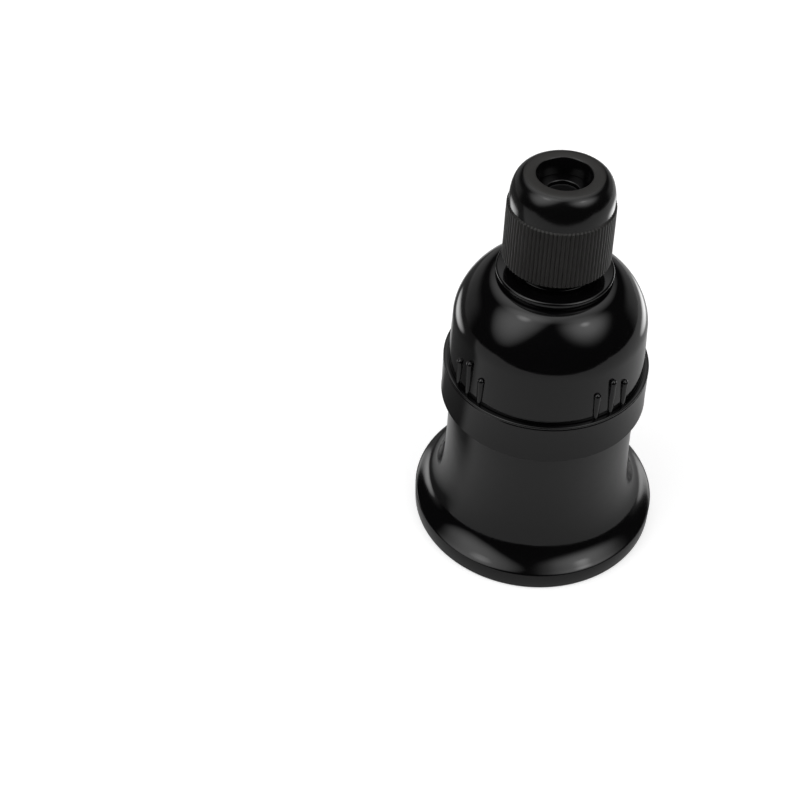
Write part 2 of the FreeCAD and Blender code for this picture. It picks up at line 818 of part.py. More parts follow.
def make_fixing_screw(name, side):
    """A slotted cheese-head screw from the socket floor up into a terminal."""
    body = new_body(name)
    y, head = terminal_y * side, size("fixing_head_radius")
    head_z = strip_z - size("fixing_head_height")
    post(body, "Head", ZERO, y, head, head_z, size("fixing_head_height"))
    post(body, "Shank", ZERO, y, size("fixing_screw_radius"), strip_z,
         deck_z + size("fixing_screw_depth") - strip_z)
    slot(body, y, head, head_z)
    return body


def slot(body, y, head, level):
    """A screwdriver slot, cut upwards from level right across a head."""
    half = size("slot_width") / 2
    block(body, "Slot", -head * 1.2, head * 1.2, y - half, y + half, level, size("slot_depth"), True)


def make_terminal(name, side):
    """A brass block with a cross hole for the wire and a clamp screw from above."""
    body = new_body(name)
    y = terminal_y * side
    half_x, half_y = size("terminal_length") / 2, size("terminal_width") / 2
    block(body, "BlockForm", -half_x, half_x, y - half_y, y + half_y, deck_z, size("terminal_height"))
    post(body, "FixingThread", ZERO, y, size("fixing_screw_radius") + size("screw_clearance"),
         deck_z, size("fixing_screw_depth") + size("fixing_hole_spare"), True)
    wire_z = deck_z + size("wire_hole_height")
    post(body, "ClampThread", ZERO, y, size("clamp_screw_radius") + size("screw_clearance"),
         wire_z, size("terminal_height") - size("wire_hole_height"), True)
    across(body, "WireHole", lambda sketch: circle(sketch, y, wire_z, size("wire_hole_radius")),
           -half_x, size("terminal_length"), True)
    return body


def make_clamp_screw(name, side):
    """The wire screw, backed out until its tip clears the wire hole."""
    body = new_body(name)
    y, head = terminal_y * side, size("clamp_head_radius")
    tip = deck_z + size("wire_hole_height") + size("wire_hole_radius")
    head_z = deck_z + size("terminal_height") + size("clamp_head_gap")
    post(body, "Shank", ZERO, y, size("clamp_screw_radius"), tip, head_z - tip)
    post(body, "Head", ZERO, y, head, head_z, size("clamp_head_height"))
    slot(body, y, head, head_z + size("clamp_head_height") - size("slot_depth"))
    return body


pieces = [
    make_skirt(), make_cap(), make_gland_nut(), make_slip_washer(), make_gland_seal(),
    make_insert(), make_screw_shell(), make_shell_strip(), make_contact_foot(),
    make_contact_tongue(),
    make_fixing_screw("shell_strip_screw", -1), make_fixing_screw("contact_screw", 1),
    make_terminal("shell_terminal", -1), make_terminal("contact_terminal", 1),
    make_clamp_screw("shell_wire_screw", -1), make_clamp_screw("contact_wire_screw", 1),
]
doc.recompute()

for item in doc.Objects:
    if "Invalid" in item.State or "Error" in item.State:
        raise RuntimeError("%s has failed: %s" % (item.Name, item.State))
os.makedirs("parts", exist_ok=True)
for piece in pieces:
    shape = piece.Shape
    if shape.isNull() or not shape.isValid() or not shape.Solids:
        raise RuntimeError("%s has no sound solid" % piece.Label)
    shape.exportStep("parts/%s.step" % piece.Label)
    box = shape.BoundBox
    print("%-20s %d solid %8.1f mm3  z %6.2f to %6.2f  r %5.2f" % (
        piece.Label, len(shape.Solids), shape.Volume, box.ZMin, box.ZMax,
        max(abs(box.XMin), abs(box.XMax), abs(box.YMin), abs(box.YMax))))
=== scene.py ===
"""Lamp holder: models each moulded, pressed and turned piece over the frame and lights it."""

import math

import bpy
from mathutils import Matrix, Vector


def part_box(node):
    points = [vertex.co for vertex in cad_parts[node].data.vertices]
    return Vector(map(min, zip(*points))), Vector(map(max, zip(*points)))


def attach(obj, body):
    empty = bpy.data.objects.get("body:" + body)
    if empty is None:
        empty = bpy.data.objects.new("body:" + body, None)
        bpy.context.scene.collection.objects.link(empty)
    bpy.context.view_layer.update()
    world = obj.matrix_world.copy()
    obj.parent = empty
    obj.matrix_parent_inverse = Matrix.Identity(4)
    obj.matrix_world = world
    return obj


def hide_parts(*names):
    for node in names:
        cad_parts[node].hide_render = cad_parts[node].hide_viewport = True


bl_info = {
    "name": "Lamp holder",
    "version": (1, 0, 0),
    "blender": (4, 5, 0),
    "location": "3D View > Sidebar > Lamp holder",
    "description": "Models a screw-socket lamp holder piece by piece",
    "category": "Object",
}

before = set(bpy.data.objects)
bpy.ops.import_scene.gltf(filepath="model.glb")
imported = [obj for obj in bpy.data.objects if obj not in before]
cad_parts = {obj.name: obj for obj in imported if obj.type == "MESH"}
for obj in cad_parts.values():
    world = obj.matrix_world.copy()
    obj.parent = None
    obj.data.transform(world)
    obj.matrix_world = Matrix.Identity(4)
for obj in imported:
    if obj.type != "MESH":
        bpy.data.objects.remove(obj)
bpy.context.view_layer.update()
RIM_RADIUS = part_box("skirt")[1][0]
SKIRT_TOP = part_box("skirt")[1][2]
BAND_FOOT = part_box("cap")[0][2]
SPOUT_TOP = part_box("cap")[1][2]
NUT_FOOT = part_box("gland_nut")[0][2]
NUT_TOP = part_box("gland_nut")[1][2]
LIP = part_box("porcelain_insert")[0][2]
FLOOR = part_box("contact_foot")[1][2]
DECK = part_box("shell_terminal")[0][2]
TERMINAL_Y = (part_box("contact_terminal")[0][1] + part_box("contact_terminal")[1][1]) / 2
CHAMBER_DEPTH = 0.0042
CONTACT_SHEET = 0.0004
KEYWAY_ANGLE = math.radians(-14.0)


def length(name, default, description):
    return bpy.props.FloatProperty(name=name, description=description, default=default,
                                   subtype="DISTANCE", unit="LENGTH", precision=5)


def colour(name, default, description):
    return bpy.props.FloatVectorProperty(name=name, description=description, default=default,
                                         size=3, min=0.0, max=1.0, subtype="COLOR")


class SkirtSizes(bpy.types.PropertyGroup):
    rim_radius: length("Rim radius", RIM_RADIUS, "Outer radius of the rim it stands on")
    rim_height: length("Rim height", 0.004, "Height of the rim's upright edge")
    neck_radius: length("Neck radius", 0.01855, "Outer radius above the flare")
    bore_radius: length("Bore radius", 0.01725, "Inner radius round the porcelain")
    flare_top: length("Flare top", 0.0265, "Height at which the flare becomes the neck")
    thread_pitch: length("Neck thread pitch", 0.002, "Pitch of the thread that the cap screws on")


class CapSizes(bpy.types.PropertyGroup):
    band_radius: length("Band radius", 0.0201, "Outer radius of the band at its foot")
    band_height: length("Band height", 0.0087, "Height of the band")
    dome_radius: length("Dome radius", 0.01835, "Outer radius of the dome's straight part")
    dome_draft: length("Dome draft", 0.0006, "How much wider the dome is at its foot")
    dome_foot: length("Dome straight", 0.0099, "Height of the straight part above the band")
    dome_rise: length("Dome rise", 0.0105, "Height of the rounded part")
    collar_radius: length("Collar radius", 0.0109, "Outer radius of the collar under the nut")
    rib_radius: length("Rib radius", 0.0007, "Radius of each grip rib")
    thread_pitch: length("Spout thread pitch", 0.0015, "Pitch of the thread that the nut screws on")


class NutSizes(bpy.types.PropertyGroup):
    foot_radius: length("Foot radius", 0.00974, "Radius between the knurls at the foot")
    dome_radius: length("Dome radius", 0.00935, "Radius of the nut above its knurls")
    hole_radius: length("Hole radius", 0.0049, "Radius of the cord hole")
    knurl_height: length("Knurl height", 0.012, "Height of the knurled part")
    knurl_depth: length("Knurl depth", 0.00021, "How far each knurl stands out")
    knurls: bpy.props.IntProperty(name="Knurls", default=80, min=12, max=120,
                                  description="Number of knurls round the nut")


class SocketSizes(bpy.types.PropertyGroup):
    minor_radius: length("Minor radius", 0.0122, "Radius inside the shell's thread")
    thread_depth: length("Thread depth", 0.0011, "Depth of the rolled lamp thread")
    thread_pitch: length("Thread pitch", 0.00363, "Pitch of the rolled lamp thread")
    sheet: length("Sheet thickness", 0.00035, "Thickness of the shell's sheet")
    lip_radius: length("Lip radius", 0.01505, "Outer radius of the shell's flat lip")
    porcelain_radius: length("Porcelain radius", 0.01685, "Outer radius of the porcelain")
    bore_radius: length("Porcelain bore", 0.0132, "Radius of the glazed well")


class Finishes(bpy.types.PropertyGroup):
    moulding: colour("Gloss moulding", (0.0018, 0.0017, 0.0019), "Colour of the black moulding")
    nut: colour("Nut moulding", (0.0026, 0.0025, 0.0026), "Colour of the satin black nut")
    raw_clay: colour("Raw porcelain", (0.43, 0.385, 0.315), "Colour of the unglazed edge")
    glaze: colour("Glaze", (0.19, 0.155, 0.1), "Colour of the glazed well")
    aluminium: colour("Aluminium", (0.86, 0.855, 0.84), "Colour of the rolled shell")
    brass: colour("Brass", (0.74, 0.56, 0.3), "Colour of the contacts")
    zinc: colour("Zinc", (0.66, 0.66, 0.64), "Colour of the plated screws and washer")
    rubber: colour("Rubber", (0.006, 0.006, 0.0062), "Colour of the cord seal")
    floor: colour("Floor", (0.62, 0.62, 0.62), "Colour of the floor")


# Modelling by hand: small helpers round Blender's own tools

def leave_edit():
    bpy.ops.object.mode_set(mode="OBJECT")


def select_all():
    bpy.ops.mesh.select_all(action="SELECT")


def settle():
    """Writes the place, turn and scale of the selected piece into its mesh."""
    bpy.ops.object.transform_apply(location=True, rotation=True, scale=True)


def deselect():
    if bpy.context.object and bpy.context.object.mode != "OBJECT":
        leave_edit()
    bpy.ops.object.select_all(action="DESELECT")


def activate(piece):
    deselect()
    piece.select_set(True)
    bpy.context.view_layer.objects.active = piece


def edit(piece):
    activate(piece)
    bpy.ops.object.mode_set(mode="EDIT")


def close_up(piece):
    """Merges doubles, turns the faces outwards and leaves edit mode."""
    edit(piece)
    bpy.ops.mesh.select_mode(type="VERT")
    select_all()
    bpy.ops.mesh.remove_doubles(threshold=2e-6)
    bpy.ops.mesh.dissolve_degenerate(threshold=1e-7)
    select_all()
    bpy.ops.mesh.normals_make_consistent(inside=False)
    leave_edit()
    return piece


def pick(piece, test):
    """Selects the vertices that pass the test and enters edit mode."""
    activate(piece)
    mesh = piece.data
    mesh.polygons.foreach_set("select", [False] * len(mesh.polygons))
    mesh.edges.foreach_set("select", [False] * len(mesh.edges))
    mesh.vertices.foreach_set("select", [bool(test(vertex.co)) for vertex in mesh.vertices])
    bpy.ops.object.mode_set(mode="EDIT")
    bpy.ops.mesh.select_mode(type="VERT")


def smooth(piece, angle=32):
    activate(piece)
    bpy.ops.object.shade_smooth_by_angle(angle=math.radians(angle))
    return piece


def apply(piece, kind, **settings):
    """Adds a modifier with its settings and applies it."""
    activate(piece)
    modifier = piece.modifiers.new(kind.title(), kind)
    for name, value in settings.items():
        setattr(modifier, name, value)
    bpy.ops.object.modifier_apply(modifier=modifier.name)
    return piece


def remove(piece):
    activate(piece)
    bpy.ops.object.delete()


def cut(piece, *tools):
    for tool in tools:
        apply(piece, "BOOLEAN", operation="DIFFERENCE", solver="EXACT", object=tool)
        remove(tool)
    return piece


def join(piece, *others):
    activate(piece)
    for other in others:
        other.select_set(True)
    bpy.ops.object.join()
    return piece


def place(piece, x=0.0, y=0.0, z=0.0, turn=0.0, tilt=0.0):
    """Puts a piece at a place and writes that place into its mesh."""
    activate(piece)
    piece.rotation_euler = (tilt, 0.0, turn)
    piece.location = (x, y, z)
    settle()
    return piece


def copy(piece, name, **where):
    activate(piece)
    bpy.ops.object.duplicate(linked=False)
    twin = bpy.context.object
    twin.name = name
    return place(twin, **where)


def curve_points(start, handles, end, steps=18):
    points = []
    for number in range(1, steps):
        share = number / steps
        rest = 1 - share
        points.append(tuple(
            rest ** 3 * start[axis] + 3 * rest * rest * share * handles[0][axis]
            + 3 * rest * share * share * handles[1][axis] + share ** 3 * end[axis]
            for axis in (0, 1)))
    return points


def corner_points(before, corner, after, radius, steps=4):
    """The points of a round corner, cut short where an edge is too short for it."""
    one = (before[0] - corner[0], before[1] - corner[1])
    two = (after[0] - corner[0], after[1] - corner[1])
    long_one, long_two = math.hypot(*one), math.hypot(*two)
    one = (one[0] / long_one, one[1] / long_one)
    two = (two[0] / long_two, two[1] / long_two)
    half = math.acos(max(-1.0, min(1.0, one[0] * two[0] + one[1] * two[1]))) / 2
    run = min(radius / math.tan(half), 0.49 * long_one, 0.49 * long_two)
    start = (corner[0] + one[0] * run, corner[1] + one[1] * run)
    end = (corner[0] + two[0] * run, corner[1] + two[1] * run)
    reach = 0.55 if half > 0.7 else 0.75
    handles = [(p[0] + (corner[0] - p[0]) * reach, p[1] + (corner[1] - p[1]) * reach)
               for p in (start, end)]
    return [start] + curve_points(start, handles, end, steps) + [end]


def outline_points(shape):
    """A profile of (r, z) points, (r, z, radius) round corners and [handle, handle] curves."""
    flat = []
    for number, item in enumerate(shape):
        if isinstance(item, list):
            flat += curve_points(shape[number - 1], item, shape[(number + 1) % len(shape)])
        else:
            flat.append(item)
    points = []
    for number, item in enumerate(flat):
        if len(item) == 3:
            points += corner_points(flat[number - 1], item, flat[(number + 1) % len(flat)], item[2])
        else:
            points.append(item)
    return points


def first_point(name, where):
    """A new piece of one selected vertex, left in edit mode."""
    deselect()
    bpy.ops.mesh.primitive_plane_add(size=0.001, location=(0, 0, 0))
    piece = bpy.context.object
    piece.name = name
    bpy.ops.object.mode_set(mode="EDIT")
    bpy.ops.mesh.select_mode(type="VERT")
    select_all()
    bpy.ops.mesh.merge(type="CENTER")
    bpy.ops.transform.translate(value=where)
    return piece


def drawn(name, points, closed=True):
    """A wire of points in the XZ plane, extruded point by point."""
    piece = first_point(name, (points[0][0], 0, points[0][1]))
    for before, after in zip(points[:-1], points[1:]):
        bpy.ops.mesh.extrude_vertices_move(TRANSFORM_OT_translate={
            "value": (after[0] - before[0], 0, after[1] - before[1])})
    leave_edit()
    if closed:
        last = len(points) - 1
        piece.data.vertices.foreach_set("select", [n in (0, last) for n in range(last + 1)])
        bpy.ops.object.mode_set(mode="EDIT")
        bpy.ops.mesh.edge_face_add()
        leave_edit()
    return piece


def turned(name, shape, steps=144):
    """A solid spun round the Z axis from its half profile."""
    points = outline_points(shape)
    open_axis = points[0][0] < 1e-9 and points[-1][0] < 1e-9
    piece = drawn(name, points, closed=not open_axis)
    edit(piece)
    select_all()
    bpy.ops.mesh.spin(steps=steps, angle=math.tau, center=(0, 0, 0), axis=(0, 0, 1))
    return close_up(piece)


def threaded(name, section, pitch, turns, start, steps=64):
    """A helical bar of a closed section, with filled ends."""
    piece = drawn(name, section)
    apply(piece, "SCREW", axis="Z", angle=math.tau * turns, screw_offset=pitch * turns,
          iterations=1, steps=int(steps * turns), render_steps=int(steps * turns),
          use_merge_vertices=True, merge_threshold=1e-6)
    edit(piece)
    bpy.ops.mesh.select_mode(type="VERT")
    bpy.ops.mesh.select_all(action="DESELECT")
    bpy.ops.mesh.select_non_manifold(extend=False)
    bpy.ops.mesh.fill_holes(sides=0)
    close_up(piece)
    return place(piece, z=start)


def thread_section(root, shoulder, crest, flank):
    """A low ridge with a narrow crest, sunk a little into the wall that it winds round."""
    sunk = root - 0.0001
    return [(sunk, 0.0), (shoulder, flank), (crest, flank + 0.0002), (shoulder, flank + 0.0004),
            (sunk, flank + 0.0009)]


def block(name, low, high, edge=0.0):
    """A box between two corners, its edges bevelled."""
    deselect()
    bpy.ops.mesh.primitive_cube_add(size=1, location=[(a + b) / 2 for a, b in zip(low, high)])
    piece = bpy.context.object
    piece.name = name
    piece.scale = [b - a for a, b in zip(low, high)]
    settle()
    if edge:
        bpy.ops.object.mode_set(mode="EDIT")
        select_all()
        bpy.ops.mesh.bevel(offset=edge, segments=3)
        leave_edit()
    return piece


def drill(name, radius, x, y, low, high, sides=48):
    """A plain round tool for cutting holes."""
    deselect()
    bpy.ops.mesh.primitive_cylinder_add(vertices=sides, radius=radius, depth=high - low,
                                        location=(x, y, (low + high) / 2))
    bpy.context.object.name = name
    settle()
    return bpy.context.object


def finish_piece(piece, material, body, slot, *nodes, angle=32):
    smooth(piece, angle)
    piece.data.materials.clear()
    piece.data.materials.append(bpy.data.materials[material])
    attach(piece, body)
    if nodes:
        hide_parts(*nodes)


# Finishes

def add_node(tree, kind, inputs=(), **settings):
    made = tree.nodes.new(kind)
    for name, value in settings.items():
        setattr(made, name, value)
    for name, value in dict(inputs).items():
        socket = made.inputs[name]
        if isinstance(value, bpy.types.NodeSocket):
            tree.links.new(value, socket)
        else:
            socket.default_value = value
    return made


def math_node(tree, operation, one, two=0.0, clamp=False):
    return add_node(tree, "ShaderNodeMath", {0: one, 1: two}, operation=operation,
                    use_clamp=clamp).outputs[0]


def multiply(tree, one, two, clamp=False):
    return math_node(tree, "MULTIPLY", one, two, clamp)


def excess(tree, value, limit, gain):
    """How far a value is over a limit, made steep and kept between 0 and 1."""
    return multiply(tree, math_node(tree, "SUBTRACT", value, limit), gain, clamp=True)


def ramp(tree, value, low, high, start=0.0, end=1.0, kind="LINEAR"):
    """Goes from low to high as a value goes from start to end, and no further."""
    return add_node(tree, "ShaderNodeMapRange", {
        "Value": value, "From Min": start, "From Max": end, "To Min": low, "To Max": high},
        interpolation_type=kind).outputs[0]


def object_place(tree):
    return add_node(tree, "ShaderNodeTexCoord").outputs["Object"]


def split(tree, vector):
    return add_node(tree, "ShaderNodeSeparateXYZ", {0: vector}).outputs


def square_across(tree, parts):
    """The square of the distance from the Z axis."""
    return math_node(tree, "ADD", multiply(tree, parts[0], parts[0]),
                     multiply(tree, parts[1], parts[1]))


def blend_colours(tree, share, one, two, blend="MIX"):
    made = add_node(tree, "ShaderNodeMix", data_type="RGBA", blend_type=blend)
    for number, value in ((0, share), (6, one), (7, two)):
        if isinstance(value, bpy.types.NodeSocket):
            tree.links.new(value, made.inputs[number])
        else:
            made.inputs[number].default_value = value
    return made.outputs[2]


def opaque(tint, shares=(1, 1, 1)):
    """A tint as a node takes it, with a share of each of its three values."""
    return tuple(value * share for value, share in zip(tint, shares)) + (1,)


def new_group(name, inputs, outputs):
    tree = bpy.data.node_groups.new(name, "ShaderNodeTree")
    for title, default in inputs:
        socket = tree.interface.new_socket(name=title, in_out="INPUT",
                                           socket_type="NodeSocketFloat")
        socket.default_value = default
    for title in outputs:
        tree.interface.new_socket(name=title, in_out="OUTPUT", socket_type="NodeSocketFloat")
    given, result = tree.nodes.new("NodeGroupInput"), tree.nodes.new("NodeGroupOutput")
    return tree, given.outputs, result.inputs


def make_scratch_group():
    """Fine straight scratches in two directions, as handling leaves on a moulding."""
    tree, given, result = new_group("Fine scratches", [("Density", 0.5), ("Scale", 1.0)], ["Mask"])
    where = object_place(tree)
    limit = math_node(tree, "SUBTRACT", 0.8, multiply(tree, given["Density"], 0.1))
    masks = []
    for turn, stretch in (((0.3, 0.2, 0.5), (900, 30, 26)), ((-0.5, 0.9, -0.7), (28, 24, 760))):
        laid = add_node(tree, "ShaderNodeMapping", {"Vector": where, "Rotation": turn,
                                                    "Scale": stretch}).outputs[0]
        sized = add_node(tree, "ShaderNodeVectorMath", {0: laid, "Scale": given["Scale"]},
                         operation="SCALE").outputs[0]
        streak = add_node(tree, "ShaderNodeTexNoise", {"Vector": sized, "Scale": 1.0,
                                                       "Detail": 1.0}).outputs[0]
        masks.append(excess(tree, streak, limit, 14.0))
    tree.links.new(math_node(tree, "MAXIMUM", *masks), result["Mask"])


def make_patina_group():
    """Soft uneven patches, from broad to fine, for dust, handling and firing."""
    tree, given, result = new_group("Patina", [("Scale", 80.0), ("Contrast", 2.0)],
                                    ["Mask", "Grain"])
    where = object_place(tree)
    broad = add_node(tree, "ShaderNodeTexNoise", {
        "Vector": where, "Scale": given["Scale"], "Detail": 4.0, "Roughness": 0.6}).outputs[0]
    fine = add_node(tree, "ShaderNodeTexNoise", {
        "Vector": where, "Scale": multiply(tree, given["Scale"], 14.0),
        "Detail": 3.0}).outputs[0]
    strong = multiply(tree, math_node(tree, "SUBTRACT", broad, 0.5), given["Contrast"])
    tree.links.new(math_node(tree, "ADD", strong, 0.5, clamp=True), result["Mask"])
    tree.links.new(fine, result["Grain"])


def make_brush_group():
    """Circular brush lines round the Z axis, as spinning and polishing leave."""
    tree, given, result = new_group("Turned lines", [("Lines", 5200.0)], ["Height"])
    parts = split(tree, object_place(tree))
    across = math_node(tree, "SQRT", square_across(tree, parts))
    path = multiply(tree, math_node(tree, "ADD", across, parts[2]), given["Lines"])
    lines = add_node(tree, "ShaderNodeTexNoise", {"W": path, "Scale": 1.0, "Detail": 2.0},
                     noise_dimensions="1D").outputs[0]
    tree.links.new(lines, result["Height"])


def use_group(tree, name, **values):
    made = tree.nodes.new("ShaderNodeGroup")
    made.node_tree = bpy.data.node_groups[name]
    for title, value in values.items():
        made.inputs[title].default_value = value
    return made.outputs


def new_material(name, **fixed):
    """A material with a Principled shader whose plain values are set on its own sockets."""
    material = bpy.data.materials.new(name)
    material.use_nodes = True
    tree = material.node_tree
    shader = tree.nodes["Principled BSDF"]
    for title, value in fixed.items():
        shader.inputs[title].default_value = value
    return tree, shader


def set_surface(tree, shader, base, rough, height, strength, distance):
    """Links a colour, a roughness and a bump of a height to the shader."""
    bump = add_node(tree, "ShaderNodeBump", {"Height": height, "Strength": strength,
                                             "Distance": distance})
    for title, value in (("Base Color", base), ("Roughness", rough), ("Normal", bump.outputs[0])):
        tree.links.new(value, shader.inputs[title])


def matt_zones(tree):
    """A mask of the nut's worn places: its knurls and its flat top."""
    high = split(tree, object_place(tree))[2]
    knurled = ramp(tree, high, 1.0, 0.0, NUT_FOOT + 0.0119, NUT_FOOT + 0.0122)
    flat_top = ramp(tree, high, 0.0, 1.0, NUT_TOP - 0.00012, NUT_TOP - 0.00003)
    return math_node(tree, "MAXIMUM", knurled, flat_top)


def make_moulding_material(name, tint, low, high, wobble, density, worn=False):
    """Black thermoset moulding: uneven polish, a slight wobble in its faces and fine scratches."""
    tree, shader = new_material(name, IOR=1.45)
    patches = use_group(tree, "Patina", Scale=70.0, Contrast=2.4)
    marks = use_group(tree, "Fine scratches", Density=density, Scale=1.0)
    pale = tuple(value * 1.5 + 0.001 for value in tint) + (1,)
    base = blend_colours(tree, multiply(tree, marks[0], 0.35), opaque(tint), pale)
    base = blend_colours(tree, multiply(tree, patches[0], 0.3), base, pale)
    rough = math_node(tree, "ADD", ramp(tree, patches[0], low, high),
                      multiply(tree, marks[0], 0.12))
    if worn:
        zones = matt_zones(tree)
        dust = multiply(tree, zones, ramp(tree, patches[1], 0.6, 1.0))
        base = blend_colours(tree, dust, base, (0.0125, 0.0115, 0.01, 1))
        rough = math_node(tree, "ADD", rough, multiply(tree, zones, 0.3))
    swell = add_node(tree, "ShaderNodeTexNoise", {"Vector": object_place(tree), "Scale": 210.0,
                                                  "Detail": 1.0}).outputs[0]
    height = math_node(tree, "SUBTRACT", multiply(tree, swell, wobble),
                       multiply(tree, marks[0], 0.03))
    set_surface(tree, shader, base, rough, height, strength=0.5, distance=0.0004)


def make_porcelain_material(raw, glaze):
    """Porcelain: pale and chalky where it is raw, brown and glossy inside the well."""
    tree, shader = new_material("Porcelain", IOR=1.5)
    parts = split(tree, object_place(tree))
    across = math_node(tree, "SQRT", square_across(tree, parts))
    patches = use_group(tree, "Patina", Scale=160.0, Contrast=2.2)
    ragged = math_node(tree, "ADD", across, multiply(tree, patches[0], 0.0003))
    inside = ramp(tree, ragged, 1.0, 0.0, 0.0139, 0.0142)
    deep = ramp(tree, parts[2], 0.0, 1.0, 0.0172, 0.0186)
    glazed = multiply(tree, inside, deep)
    clay = blend_colours(tree, multiply(tree, patches[0], 0.75), opaque(raw),
                         opaque(raw, (0.62, 0.58, 0.52)))
    specks = excess(tree, patches[1], 0.62, 9.0)
    clay = blend_colours(tree, specks, clay, opaque(raw, (0.5, 0.45, 0.38)))
    fired = blend_colours(tree, patches[0], opaque(glaze), opaque(glaze, (0.6, 0.58, 0.55)))
    grain = math_node(tree, "ADD", patches[1], patches[0])
    set_surface(tree, shader, blend_colours(tree, glazed, clay, fired),
                ramp(tree, glazed, 0.72, 0.17),
                multiply(tree, grain, ramp(tree, glazed, 1.0, 0.12)),
                strength=0.6, distance=0.00025)


def make_metal_material(name, tint, low, high, lines, tarnish):
    """Turned or rolled metal with circular brush lines and dull patches."""
    tree, shader = new_material(name, Metallic=1.0)
    patches = use_group(tree, "Patina", Scale=240.0, Contrast=2.6)
    marks = use_group(tree, "Fine scratches", Density=0.9, Scale=1.6)
    turned_lines = use_group(tree, "Turned lines", Lines=lines)
    base = blend_colours(tree, multiply(tree, patches[0], 0.7), opaque(tint),
                         opaque(tint, tarnish))
    rough = math_node(tree, "ADD", ramp(tree, patches[0], low, high),
                      multiply(tree, turned_lines[0], 0.1))
    height = math_node(tree, "ADD", turned_lines[0], multiply(tree, marks[0], 0.6))
    set_surface(tree, shader, base, rough, height, strength=0.35, distance=0.00006)


def make_rubber_material(tint):
    """Dull rubber, paler in patches."""
    tree, shader = new_material("Rubber", IOR=1.5)
    patches = use_group(tree, "Patina", Scale=200.0, Contrast=2.0)
    base = blend_colours(tree, patches[0], opaque(tint), opaque(tint, (1.9, 1.9, 1.9)))
    set_surface(tree, shader, base, ramp(tree, patches[0], 0.6, 0.8), patches[1],
                strength=0.4, distance=0.0001)


class HOLDER_OT_finishes(bpy.types.Operator):
    """Make the node groups and the materials of every finish"""
    bl_idname = "holder.finishes"
    bl_label = "Finishes"

    def execute(self, context):
        tints = context.scene.holder_finishes
        make_scratch_group()
        make_patina_group()
        make_brush_group()
        make_moulding_material("Gloss moulding", tints.moulding, low=0.06, high=0.14,
                               wobble=0.12, density=0.55)
        make_moulding_material("Nut moulding", tints.nut, low=0.1, high=0.2,
                               wobble=0.2, density=0.5, worn=True)
        make_porcelain_material(tints.raw_clay, tints.glaze)
        for name, tint, low, high, lines, tarnish in (
                ("Rolled aluminium", tints.aluminium, 0.2, 0.42, 5200.0, (0.72, 0.72, 0.71)),
                ("Pressed brass", tints.brass, 0.2, 0.45, 3000.0, (0.55, 0.45, 0.36)),
                ("Zinc plate", tints.zinc, 0.25, 0.45, 3400.0, (0.68, 0.66, 0.6))):
            make_metal_material(name, tint, low, high, lines, tarnish)
        make_rubber_material(tints.rubber)
        return {"FINISHED"}


# Pieces

class HOLDER_OT_skirt(bpy.types.Operator):
    """Spin the flared skirt and wind the thread round its neck"""
    bl_idname = "holder.skirt"
    bl_label = "Skirt"

    def execute(self, context):
        s = context.scene.holder_skirt
        rim, edge, neck, bore = s.rim_radius, s.rim_height, s.neck_radius, s.bore_radius
        root, inner_rim, rim_floor = neck - 0.0005, rim - 0.0022, 0.0006
        first, second, third = bore + 0.0007, bore + 0.0014, bore + 0.00195
        first_step, second_step, third_step = 0.0082, 0.0066, 0.0054
        mouth_curve = [(third, 0.00276), (inner_rim - 0.55 * 0.0036, rim_floor)]
        skirt = turned("skirt_moulding", [
            (inner_rim, 0.0, 0.0001), (rim, 0.0, 0.0004), (rim, edge - 0.0003),
            (rim - 0.0001, edge - 0.00008), (rim - 0.00035, edge + 0.0001),
            [(rim - 0.0033, edge + 0.0019), (neck, edge + 0.0025)],
            (neck, s.flare_top), (neck, BAND_FOOT + 0.0001), (root, BAND_FOOT + 0.0006),
            (root, SKIRT_TOP, 0.0002), (bore, SKIRT_TOP, 0.0001), (bore, first_step, 0.00015),
            (first, first_step, 0.00025), (first, second_step, 0.0002),
            (second, second_step, 0.00025), (second, third_step, 0.0002),
            (third, third_step, 0.0002), mouth_curve, (inner_rim, rim_floor, 0.0001),
        ])
        section = thread_section(root, neck + 0.00005, neck + 0.0001, flank=0.0006)
        thread = threaded("neck_thread", section, s.thread_pitch, turns=1.4,
                          start=BAND_FOOT + 0.0007, steps=72)
        finish_piece(join(skirt, thread), "Gloss moulding", "skirt_body", "black_phenolic", "skirt")
        return {"FINISHED"}


